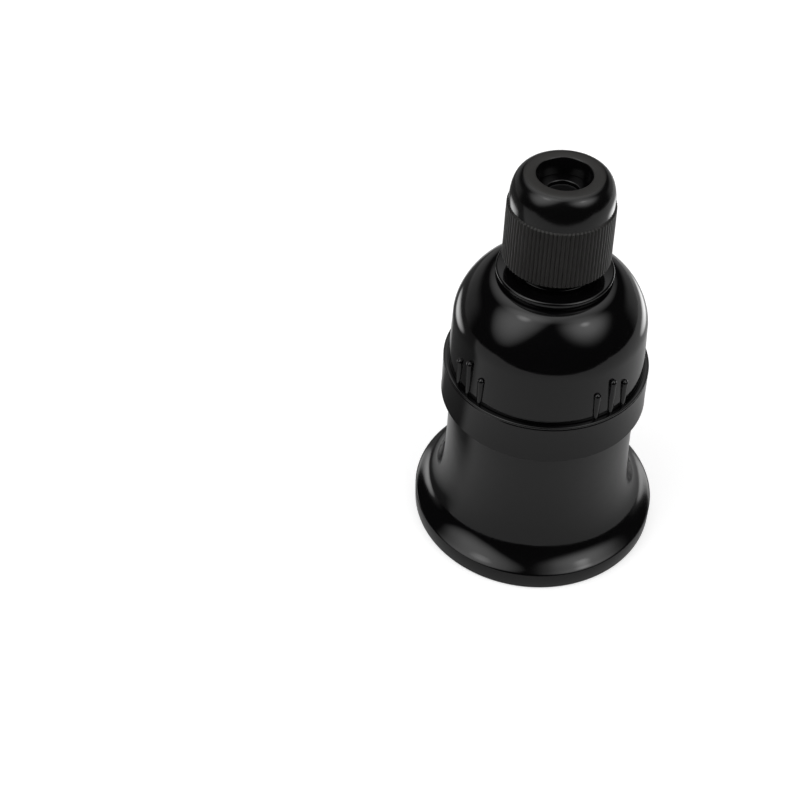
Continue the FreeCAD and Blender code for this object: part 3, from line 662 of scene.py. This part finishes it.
class HOLDER_OT_cap(bpy.types.Operator):
    """Spin the domed cap and stand its grip ribs and inner keys on it"""
    bl_idname = "holder.cap"
    bl_label = "Cap"

    def execute(self, context):
        s = context.scene.holder_cap
        band, dome, collar = s.band_radius, s.dome_radius, s.collar_radius
        ledge = BAND_FOOT + s.band_height
        shoulder = ledge + s.dome_foot
        top = shoulder + s.dome_rise
        collar_top, wall, groove, full = top + 0.0017, 0.0019, 0.00035, 0.423
        rise, run, dome_foot = s.dome_rise, dome - collar, dome + s.dome_draft
        root, seal_bore, passage = 0.00715, 0.0062, 0.0042
        seal_floor = SPOUT_TOP - 0.0086
        bore, thread_bore, step = dome - wall, dome + 0.0005, 0.0392
        under, inner = top - wall, collar - wall
        cap = turned("cap_moulding", [
            (thread_bore, BAND_FOOT, 0.00015), (band - 0.00005, BAND_FOOT, 0.00008),
            (band + 0.00002, BAND_FOOT + 0.00012), (band - 0.00004, BAND_FOOT + 0.00032),
            (band - 0.0002, ledge - 0.0007), (band - 0.0003, ledge - 0.00055),
            (band - 0.0002, ledge - 0.0004), (band - 0.0002, ledge, 0.00018),
            (dome_foot + 0.00012, ledge, 0.00006), (dome_foot + 0.00012, ledge - 0.00022),
            (dome_foot, ledge - 0.00022), (dome, shoulder),
            [(dome, shoulder + full * rise), (collar + full * run, top)],
            (collar, top, 0.0002), (collar - groove, top), (collar - groove, top + groove),
            (collar, top + groove, 0.0001), (collar, collar_top, 0.0004),
            (root, collar_top, 0.0002), (root, SPOUT_TOP, 0.0003), (seal_bore, SPOUT_TOP, 0.0003),
            (seal_bore, seal_floor), (passage, seal_floor, 0.0003), (passage, under),
            (inner, under), [(inner + full * run, under), (bore, shoulder + full * (rise - wall))],
            (bore, shoulder), (bore, step), (thread_bore, step),
        ])
        section = thread_section(root, root + 0.0004, root + 0.00045, flank=0.0005)
        turns = (SPOUT_TOP - collar_top - 0.0024) / s.thread_pitch
        thread = threaded("spout_thread", section, s.thread_pitch, turns, start=top + 0.0021)
        extras = [thread] + self.grip_ribs(s, ledge) + self.keys(bore, step)
        finish_piece(join(cap, *extras), "Gloss moulding", "cap_body", "black_phenolic", "cap")
        return {"FINISHED"}

    def grip_ribs(self, s, ledge):
        """Four groups of three ribs, the middle one of each group taller."""
        radius, at, foot = s.rib_radius, s.dome_radius + s.dome_draft / 2, ledge - 0.0002
        first_group, group_count = 34.3, 4
        ribs = []
        for height, offsets in ((0.0061, (-10.0, 10.0)), (0.008, (0.0,))):
            top = ledge + height - radius
            model = turned("grip_rib", [
                (0.0, foot), (radius, foot), (radius, top),
                [(radius, top + radius * 0.55), (radius * 0.55, top + radius)],
                (0.0, top + radius)], steps=20)
            for group in range(group_count):
                for offset in offsets:
                    angle = math.radians(first_group + 360 / group_count * group + offset)
                    ribs.append(copy(model, "grip_rib", x=at * math.sin(angle),
                                     y=-at * math.cos(angle)))
            remove(model)
        return ribs

    def keys(self, bore, step):
        """Two keys either side of each end of the porcelain's ridge."""
        near, far = 0.0018, 0.0033
        first = block("cap_key", (bore - 0.002, near, step + 0.0003),
                      (bore + 0.0009, far, step + 0.0098), edge=0.0002)
        second = copy(first, "cap_key", y=-near - far)
        return [first, second, copy(first, "cap_key", turn=math.pi),
                copy(second, "cap_key", turn=math.pi)]


class HOLDER_OT_gland_nut(bpy.types.Operator):
    """Spin the gland nut and draw its knurls out of the wall"""
    bl_idname = "holder.gland_nut"
    bl_label = "Gland nut"

    def execute(self, context):
        s = context.scene.holder_nut
        foot, dome, hole, count = s.foot_radius, s.dome_radius, s.hole_radius, s.knurls
        knurl_top, seat = NUT_FOOT + s.knurl_height, NUT_TOP - 0.0035
        bore, shoulder, rim = 0.00775, dome + 0.00012, hole + 0.00165
        rise, run = NUT_TOP - knurl_top, dome - rim
        nut = turned("gland_nut_moulding", [
            (bore + 0.0003, NUT_FOOT), (foot - 0.0004, NUT_FOOT, 0.0001),
            (foot, NUT_FOOT + 0.0005), (foot - 0.0001, NUT_FOOT + 0.0035),
            (shoulder + 0.0001, knurl_top - 0.0035), (shoulder, knurl_top - 0.00025),
            (shoulder - 0.00012, knurl_top), (dome, knurl_top + 0.0001),
            [(dome, knurl_top + 0.66 * rise), (rim + 0.6 * run, NUT_TOP)],
            (rim, NUT_TOP, 0.0003), (hole, NUT_TOP, 0.0003), (hole, seat, 0.0001), (bore, seat),
            (bore, NUT_FOOT + 0.0004),
        ], steps=count * 4)
        low, high = NUT_FOOT + 0.0003, knurl_top - 0.0002
        for quarters, depth in (((2,), 1.0), ((1, 3), 0.82)):
            def on_knurl(co, quarters=quarters):
                angle = math.atan2(co.y, co.x) % math.tau
                step = round(angle / math.tau * count * 4) % 4
                return low < co.z < high and math.hypot(co.x, co.y) > dome and step in quarters
            pick(nut, on_knurl)
            factor = 1 + s.knurl_depth * depth / foot
            bpy.ops.transform.resize(value=(factor, factor, 1), center_override=(0, 0, 0))
            leave_edit()
        finish_piece(close_up(nut), "Nut moulding", "nut_body", "nut_phenolic", "gland_nut")
        return {"FINISHED"}


class HOLDER_OT_cord_seal(bpy.types.Operator):
    """Turn the slip washer and the rubber seal under the nut"""
    bl_idname = "holder.cord_seal"
    bl_label = "Cord seal"

    def execute(self, context):
        low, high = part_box("slip_washer")[0][2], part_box("slip_washer")[1][2]
        hole, edge = 0.0029, 0.00745
        washer = turned("slip_washer_plate", [
            (hole, low, 0.00012), (edge, low, 0.00012), (edge, high, 0.0002),
            (hole, high, 0.0002)], steps=96)
        finish_piece(washer, "Gloss moulding", "seal_body", "nut_phenolic", "slip_washer")
        low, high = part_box("gland_seal")[0][2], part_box("gland_seal")[1][2]
        hole, edge, taper, groove = 0.00285, 0.0059, 0.0054, 0.0056
        seal = turned("gland_seal_rubber", [
            (hole, low, 0.0002), (taper, low, 0.0003), (edge, low + 0.001, 0.0004),
            (edge, high - 0.0032), (groove, high - 0.0028), (groove, high - 0.0024),
            (edge, high - 0.002), (edge, high, 0.0002), (hole, high, 0.0002)], steps=80)
        finish_piece(seal, "Rubber", "seal_body", "seal_rubber", "gland_seal")
        return {"FINISHED"}


class HOLDER_OT_porcelain(bpy.types.Operator):
    """Turn the porcelain insert, rough its raw edge and cut its channel and chambers"""
    bl_idname = "holder.porcelain"
    bl_label = "Porcelain insert"

    def execute(self, context):
        s = context.scene.holder_socket
        outer, well = s.porcelain_radius, s.bore_radius
        flange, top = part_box("porcelain_insert")[1][0], DECK + CHAMBER_DEPTH
        bore, seat = s.minor_radius + s.thread_depth + s.sheet + 0.00035, s.lip_radius + 0.00015
        throat, step = well + 0.0004, LIP + 0.0106
        shell_top, shell_floor = LIP + 0.0082, LIP + s.sheet
        insert = turned("porcelain_body", [
            (0.0, FLOOR), (well, FLOOR, 0.0012), (well, step, 0.0004), (throat, step, 0.0003),
            (throat, shell_top, 0.0004), (bore, shell_top, 0.0003), (bore, shell_floor, 0.0002),
            (seat, shell_floor, 0.0001), (seat, LIP, 0.0003), (outer, LIP, 0.0009),
            (outer, LIP + 0.0012), (outer, LIP + 0.0022), (outer, LIP + 0.0032),
            (outer, LIP + 0.0042), (outer, SKIRT_TOP, 0.0002), (flange, SKIRT_TOP, 0.0003),
            (flange, top, 0.0004), (0.0, top)], steps=160)
        tools = []
        for side in (-1, 1):
            y = TERMINAL_Y * side
            near, far = sorted((side * 0.01375, side * (outer + 0.001)))
            tools += [
                block("chamber", (-0.0065, y - 0.0044, DECK), (0.0065, y + 0.0044, DECK + 0.006),
                      edge=0.0005),
                drill("fixing_hole", 0.0016, 0, y, FLOOR - 0.001, DECK + 0.001),
                block("edge_groove", (-0.0025, near, LIP - 0.003), (0.0025, far, LIP + 0.004),
                      edge=0.0007)]
        tools.append(block("strip_channel", (-0.00375, -0.0147, LIP + 0.0046),
                           (0.00375, -TERMINAL_Y, FLOOR - 0.00001)))
        cut(insert, *tools)
        self.roughen(insert)
        reach, half = 0.016, 0.0015
        ridge = block("terminal_ridge", (-reach, -half, top - 0.0004),
                      (reach, half, top + 0.006), edge=0.0004)
        finish_piece(join(insert, ridge), "Porcelain", "insert_body", "porcelain",
                     "porcelain_insert", angle=38)
        return {"FINISHED"}

    def roughen(self, insert):
        """Lets the raw lower edge run in and out, as pressed clay does."""
        group = insert.vertex_groups.new(name="raw_edge")
        least_radius, raw_height, fade = 0.0156, 0.0045, 0.001
        for vertex in insert.data.vertices:
            across, high = math.hypot(vertex.co.x, vertex.co.y), vertex.co.z - LIP
            if across > least_radius and high < raw_height:
                group.add([vertex.index], min(1.0, (raw_height - high) / fade), "REPLACE")
        clouds = bpy.data.textures.new("Raw edge", "CLOUDS")
        clouds.noise_scale = 0.0042
        clouds.noise_depth = 2
        apply(insert, "DISPLACE", texture=clouds, texture_coords="LOCAL", direction="NORMAL",
              strength=-0.0017, mid_level=0.12, vertex_group="raw_edge")


class HOLDER_OT_screw_shell(bpy.types.Operator):
    """Roll the lamp thread out of sheet and form the notched lip at its mouth"""
    bl_idname = "holder.screw_shell"
    bl_label = "Screw shell"

    def execute(self, context):
        s = context.scene.holder_socket
        lip = self.make_lip(s)
        thread = self.roll_thread(s)
        finish_piece(join(lip, thread), "Rolled aluminium", "insert_body", "shell_aluminium",
                     "screw_shell", angle=50)
        return {"FINISHED"}

    def roll_thread(self, s):
        pitch, minor, depth = s.thread_pitch, s.minor_radius, s.thread_depth
        wave_steps = 20
        wave = [(minor + depth * (0.5 - 0.5 * math.cos(math.tau * n / wave_steps)),
                 pitch * n / wave_steps) for n in range(wave_steps + 1)]
        shell = drawn("rolled_thread", wave, closed=False)
        apply(shell, "SCREW", axis="Z", angle=math.tau, screw_offset=pitch, iterations=4, steps=96,
              render_steps=96, use_merge_vertices=True, merge_threshold=1e-6)
        close_up(shell)
        place(shell, z=LIP - 1.5 * pitch)
        for level, inner in ((LIP + 0.0009, True), (LIP + 0.0077, False)):
            edit(shell)
            select_all()
            bpy.ops.mesh.bisect(plane_co=(0, 0, level), plane_no=(0, 0, 1), clear_inner=inner,
                                clear_outer=not inner)
        leave_edit()
        outward = sum(face.normal.x * face.center.x + face.normal.y * face.center.y
                      for face in shell.data.polygons)
        if outward < 0:
            edit(shell)
            select_all()
            bpy.ops.mesh.flip_normals()
            leave_edit()
        return apply(shell, "SOLIDIFY", thickness=s.sheet, offset=1.0, use_even_offset=True)

    def make_lip(self, s):
        """The flat lip: two lenses cut out and their tabs folded up, and a keyway with its tab."""
        edge, sheet, minor = s.lip_radius, s.sheet, s.minor_radius
        inside, outside, back = minor + 0.00005, minor + 0.0004, LIP + sheet
        bend, neck_top = LIP + 0.0011, LIP + 0.0022
        lip = turned("shell_lip", [
            (inside, neck_top), (inside, bend), [(inside, LIP + 0.0004), (minor + 0.0005, LIP)],
            (minor + 0.001, LIP), (edge, LIP, 0.0001), (edge, back, 0.0001),
            (minor + 0.0013, back), [(minor + 0.0008, back), (outside, LIP + 0.0007)],
            (outside, bend), (outside, neck_top)], steps=160)
        notch = 0.0008
        fold, lens, half_key, half_tab = edge - notch, 0.0052, 0.002, 0.0019
        below, above = LIP - 0.001, LIP + 0.001
        tools = [drill("lens", lens, 0, side * (fold + lens), below, above, sides=96)
                 for side in (-1, 1)]
        keyway = block("keyway", (fold, -half_key, below), (edge + 0.001, half_key, above))
        tools.append(place(keyway, turn=KEYWAY_ANGLE))
        cut(lip, *tools)
        tab = block("lip_tab", (-half_tab, -fold, LIP + 0.00002),
                    (half_tab, -fold + sheet, LIP + 0.0024), edge=0.0001)
        tabs = [tab, copy(tab, "lip_tab", turn=math.pi)]
        key_tab = block("key_tab", (fold - sheet, -half_key, LIP + 0.00004),
                        (fold - sheet + notch, -0.0008, back - 0.00002), edge=0.00008)
        return join(lip, place(key_tab, turn=KEYWAY_ANGLE), *tabs)


class HOLDER_OT_contacts(bpy.types.Operator):
    """Bend the contact strips, turn the slotted screws and drill the terminals"""
    bl_idname = "holder.contacts"
    bl_label = "Contacts and terminals"

    def execute(self, context):
        self.make_strip()
        self.make_foot()
        self.make_tongue()
        self.make_fixing_screws()
        self.make_terminals()
        self.make_wire_screws()
        return {"FINISHED"}

    def finish_pair(self, model, material, slot, *sides):
        """A copy of the model at the shell's terminal, then one at the contact's."""
        for y, (name, node) in zip((-TERMINAL_Y, TERMINAL_Y), sides):
            finish_piece(copy(model, name, y=y), material, "insert_body", slot, node)
        remove(model)

    def bent(self, name, path, widths):
        """A strip of sheet along a side view, as (y, z) points, with a half width at each."""
        strip = first_point(name, (-widths[0], *path[0]))
        bpy.ops.mesh.extrude_vertices_move(TRANSFORM_OT_translate={"value": (2 * widths[0], 0, 0)})
        select_all()
        for before, after, wide, narrow in zip(path, path[1:], widths, widths[1:]):
            step = (0, after[0] - before[0], after[1] - before[1])
            bpy.ops.mesh.extrude_edges_move(TRANSFORM_OT_translate={"value": step})
            bpy.ops.transform.resize(value=(narrow / wide, 1, 1), center_override=(0, *after))
        leave_edit()
        apply(strip, "SOLIDIFY", thickness=CONTACT_SHEET, offset=0.0, use_even_offset=True)
        apply(strip, "BEVEL", width=CONTACT_SHEET * 0.18, segments=2, limit_method="ANGLE",
              angle_limit=math.radians(60))
        return close_up(strip)

    def make_strip(self):
        low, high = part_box("shell_strip")
        y, z, bend = low[1] + CONTACT_SHEET / 2, high[2] - CONTACT_SHEET / 2, 0.0009
        path = [(y, low[2]), (y, z - bend)]
        path += [(y + bend * (1 - math.cos(a)), z - bend * (1 - math.sin(a)))
                 for a in (0.4, 0.8, 1.2)]
        path += [(y + bend, z), (high[1], z)]
        strip = self.bent("shell_contact_strip", path, [high[0]] * len(path))
        cut(strip, drill("hole", 0.0015, 0, -TERMINAL_Y, high[2] - 0.002, high[2] + 0.001))
        finish_piece(strip, "Pressed brass", "insert_body", "contact_brass", "shell_strip")

    def make_foot(self):
        low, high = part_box("contact_foot")
        middle, half, end = (low[2] + high[2]) / 2, high[0], high[1]
        path = [(low[1], middle), (end - 0.0012, middle), (end - 0.0004, middle), (end, middle)]
        foot = self.bent("centre_contact_foot", path, [half, half, half * 0.86, half * 0.55])
        cut(foot, drill("hole", 0.0015, 0, TERMINAL_Y, low[2] - 0.001, high[2] + 0.001))
        finish_piece(foot, "Pressed brass", "insert_body", "contact_brass", "contact_foot")

    def make_tongue(self):
        """The sprung end: down from its root, flat behind the lamp, with a round end."""
        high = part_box("contact_tongue")[1]
        root, half, dimple_y = high[2] - CONTACT_SHEET / 2, high[0], 0.00135
        flat = root - 0.0026
        path = [(high[1], root), (0.0063, root - 0.00008), (0.006, root - 0.0002),
                (0.0055, root - 0.00042), (0.0025, flat + 0.0003), (0.0019, flat + 0.00007),
                (0.0014, flat), (0.0, flat), (-dimple_y, flat)]
        widths = [half] * len(path)
        for out, share in ((0.0008, 0.94), (0.0014, 0.8), (0.0019, 0.58), (0.0022, 0.34)):
            path.append((-dimple_y - out, flat))
            widths.append(half * share)
        tongue = self.bent("centre_contact_tongue", path, widths)
        under = flat - CONTACT_SHEET / 2
        dimple = turned("dimple", [
            (0.0, under - 0.00074), [(0.0005, under - 0.00072), (0.0008, under - 0.0004)],
            (0.00125, under + 0.00005), (0.0, under + 0.0001)], steps=40)
        finish_piece(join(tongue, dimple), "Pressed brass", "contact_body", "contact_brass",
                     "contact_tongue")

    def slotted(self, name, head, thick, shank, length_under, z):
        """A cheese-head screw, head downwards at z, slotted and drawn with a chamfered tip."""
        edge, under, slot_reach, half_slot = 0.0003, z + thick, head * 1.2, 0.0004
        tip = under + length_under
        screw = turned(name, [
            (0.0, z), (head - edge, z, edge), (head, z + 0.0004, edge), (head, under, 0.0001),
            (shank, under), (shank, tip - edge), (shank - edge, tip), (0.0, tip)], steps=64)
        return cut(screw, block("slot", (-slot_reach, -half_slot, z - 0.001),
                                (slot_reach, half_slot, z + 0.0008)))

    def make_fixing_screws(self):
        low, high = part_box("contact_screw")
        head_height = 0.0015
        model = self.slotted("fixing_screw_model", high[0], head_height, shank=0.00145,
                             length_under=high[2] - low[2] - head_height, z=low[2])
        self.finish_pair(model, "Zinc plate", "steel", ("shell_strip_fixing", "shell_strip_screw"),
                         ("centre_contact_fixing", "contact_screw"))

    def make_terminals(self):
        low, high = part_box("contact_terminal")
        half_x, half_y, wire_height = high[0], (high[1] - low[1]) / 2, low[2] + 0.0052
        model = block("terminal_model", (-half_x, -half_y, low[2]), (half_x, half_y, high[2]),
                      edge=0.0004)
        wire = drill("wire_hole", 0.0015, 0, 0, -half_x - 0.001, half_x + 0.001)
        activate(wire)
        wire.rotation_euler = (0, math.pi / 2, 0)
        settle()
        place(wire, z=wire_height)
        cut(model, wire, drill("clamp_hole", 0.00138, 0, 0, wire_height, high[2] + 0.001),
            drill("fixing_hole", 0.00148, 0, 0, low[2] - 0.001, low[2] + 0.0036))
        self.finish_pair(model, "Pressed brass", "contact_brass", ("terminal", "shell_terminal"),
                         ("contact_terminal_block", "contact_terminal"))

    def make_wire_screws(self):
        low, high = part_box("contact_wire_screw")
        head_height = 0.0016
        model = self.slotted("wire_screw_model", high[0], head_height, shank=0.00135,
                             length_under=high[2] - low[2] - head_height, z=0.0)
        place(model, tilt=math.pi)
        place(model, z=high[2])
        self.finish_pair(model, "Zinc plate", "steel", ("wire_screw", "shell_wire_screw"),
                         ("contact_wire_screw_turned", "contact_wire_screw"))


# Stage

# Each far lamp's azimuth, elevation, width, height, brightness and softness
FAR_LAMPS = {
    "left_softbox": (-63, 48, 1.17, 2.0, 2.2, 1.2),
    "left_core": (-64, 62, 0.3, 0.3, 2.5, 1.0),
    "right_softbox": (54, 47, 1.5, 1.5, 2.6, 2.5),
    "right_core": (56, 52, 0.22, 0.22, 3.0, 1.0),
    "top_softbox": (180, 72, 2.0, 1.9, 1.6, 1.2),
}
LAMP_DISTANCE = 1.1


def add_softbox(name, azimuth, elevation, distance, width, height, level, fade, aim=0.045):
    """A round lamp that looks at the holder: level is the brightness at its middle.

    Azimuth 0 is in front and 90 to the right. A larger fade makes its edge softer.
    """
    a, e = math.radians(azimuth), math.radians(elevation)
    way = (math.sin(a) * math.cos(e), -math.cos(a) * math.cos(e), math.sin(e))
    deselect()
    bpy.ops.object.light_add(type="AREA", location=[m + distance * w
                                                    for m, w in zip((0.0, 0.0, aim), way)])
    lamp = bpy.context.object
    lamp.name = name
    lamp.data.shape = "ELLIPSE"
    lamp.data.size, lamp.data.size_y = width, height
    lamp.data.energy = level * math.pi * math.pi / 4 * width * height
    lamp.rotation_euler = (math.pi / 2 - e, 0, a)
    lamp.visible_camera = False
    lamp.data.use_nodes = True
    tree = lamp.data.node_tree
    where = add_node(tree, "ShaderNodeNewGeometry").outputs["Parametric"]
    middle = add_node(tree, "ShaderNodeVectorMath", {0: where, 1: (0.5, 0.5, 0.0)},
                      operation="SUBTRACT").outputs[0]
    square = square_across(tree, split(tree, middle))
    inside = math_node(tree, "SUBTRACT", 1.0, multiply(tree, square, 4.0), clamp=True)
    tree.links.new(math_node(tree, "POWER", inside, fade),
                   tree.nodes["Emission"].inputs["Strength"])
    return lamp


class HOLDER_OT_stage(bpy.types.Operator):
    """Lay the pale floor, set the soft lamps and the camera"""
    bl_idname = "holder.stage"
    bl_label = "Stage"

    def execute(self, context):
        self.make_floor(context.scene.holder_finishes.floor)
        self.make_world(context.scene)
        for name, (azimuth, elevation, *light) in FAR_LAMPS.items():
            add_softbox(name, azimuth, elevation, LAMP_DISTANCE, *light)
        for side in (-1, 1):
            card = add_softbox("low_card", 126 * side, 0, distance=0.098, width=0.075,
                               height=0.028, level=3.0, fade=0.8, aim=0.015)
            card.visible_diffuse = False
        self.make_camera(context.scene)
        context.scene.view_settings.view_transform = "Standard"
        return {"FINISHED"}

    def make_camera(self, scene):
        deselect()
        bpy.ops.object.camera_add(location=(-0.0283, -0.1883, 0.2144),
                                  rotation=(math.radians(45.43), 0, 0))
        camera = bpy.context.object
        camera.data.lens = 59.27
        camera.data.sensor_width = 36
        camera.data.clip_start = 0.01
        scene.camera = camera

    def make_floor(self, tint):
        """A pale floor, white to the camera, with a painted dark reflection behind on the left that
        only glossy rays see.
        """
        deselect()
        bpy.ops.mesh.primitive_plane_add(size=1, location=(0, 0.07, -0.0001))
        floor = bpy.context.object
        floor.name = "floor"
        floor.scale = (0.6, 0.48, 1)
        settle()
        material = bpy.data.materials.new("Floor")
        material.use_nodes = True
        tree = material.node_tree
        tree.nodes.remove(tree.nodes["Principled BSDF"])
        path = add_node(tree, "ShaderNodeLightPath").outputs
        parts = split(tree, object_place(tree))
        # Painted dark reflection: behind on the left the floor's colour falls to a fifth, for
        # glossy rays only.
        left = ramp(tree, parts[0], 0.0, 1.0, -0.03, -0.042, kind="SMOOTHSTEP")
        back = ramp(tree, parts[1], 0.0, 1.0, -0.014, 0.0, kind="SMOOTHSTEP")
        painted_dark_reflection = multiply(tree, multiply(tree, left, back), path["Is Glossy Ray"])
        paper = add_node(tree, "ShaderNodeBsdfDiffuse", {
            "Color": blend_colours(tree, painted_dark_reflection, opaque(tint), opaque(tint, (0.2, 0.2, 0.2)))})
        glow = add_node(tree, "ShaderNodeEmission", {
            "Color": (1, 1, 1, 1), "Strength": multiply(tree, path["Is Camera Ray"], 0.6)})
        both = add_node(tree, "ShaderNodeAddShader", {0: paper.outputs[0], 1: glow.outputs[0]})
        tree.links.new(both.outputs[0], tree.nodes["Material Output"].inputs["Surface"])
        floor.data.materials.append(material)

    def make_world(self, scene):
        """White to the camera; in reflections dark, with a dim band low behind the holder."""
        world = bpy.data.worlds.new("Studio")
        scene.world = world
        world.use_nodes = True
        tree = world.node_tree
        path = add_node(tree, "ShaderNodeLightPath").outputs
        parts = split(tree, add_node(tree, "ShaderNodeTexCoord").outputs["Generated"])
        behind = ramp(tree, parts[1], 0.0, 1.0, 0.1, 0.5, kind="SMOOTHSTEP")
        low = ramp(tree, parts[2], 1.0, 0.0, 0.1, 0.4, kind="SMOOTHSTEP")
        paper = multiply(tree, multiply(tree, behind, low),
                         multiply(tree, path["Is Glossy Ray"], 0.3))
        seen = math_node(tree, "MAXIMUM", paper, path["Is Camera Ray"])
        level = math_node(tree, "MAXIMUM", seen, 0.02)
        sky = add_node(tree, "ShaderNodeBackground", {"Color": (1, 1, 1, 1), "Strength": level})
        tree.links.new(sky.outputs[0], tree.nodes["World Output"].inputs["Surface"])


class HOLDER_PT_pieces(bpy.types.Panel):
    """The lamp holder's pieces and their sizes"""
    bl_label = "Lamp holder"
    bl_idname = "HOLDER_PT_pieces"
    bl_space_type = "VIEW_3D"
    bl_region_type = "UI"
    bl_category = "Lamp holder"

    def draw(self, context):
        for operator in OPERATORS:
            self.layout.operator(operator.bl_idname)
        for name, group in GROUPS.items():
            box = self.layout.box()
            for item in group.__annotations__:
                box.prop(getattr(context.scene, name), item)


GROUPS = {
    "holder_skirt": SkirtSizes,
    "holder_cap": CapSizes,
    "holder_nut": NutSizes,
    "holder_socket": SocketSizes,
    "holder_finishes": Finishes,
}
OPERATORS = (HOLDER_OT_finishes, HOLDER_OT_skirt, HOLDER_OT_cap, HOLDER_OT_gland_nut,
             HOLDER_OT_cord_seal, HOLDER_OT_porcelain, HOLDER_OT_screw_shell,
             HOLDER_OT_contacts, HOLDER_OT_stage)


def register():
    for group in GROUPS.values():
        bpy.utils.register_class(group)
    for name, group in GROUPS.items():
        setattr(bpy.types.Scene, name, bpy.props.PointerProperty(type=group))
    for operator in OPERATORS:
        bpy.utils.register_class(operator)
    bpy.utils.register_class(HOLDER_PT_pieces)


def unregister():
    bpy.utils.unregister_class(HOLDER_PT_pieces)
    for operator in reversed(OPERATORS):
        bpy.utils.unregister_class(operator)
    for name in GROUPS:
        delattr(bpy.types.Scene, name)
    for group in reversed(GROUPS.values()):
        bpy.utils.unregister_class(group)


def main():
    register()
    bpy.ops.holder.finishes()
    bpy.ops.holder.skirt()
    bpy.ops.holder.cap()
    bpy.ops.holder.gland_nut()
    bpy.ops.holder.cord_seal()
    bpy.ops.holder.porcelain()
    bpy.ops.holder.screw_shell()
    bpy.ops.holder.contacts()
    bpy.ops.holder.stage()


if __name__ == "__main__":
    main()
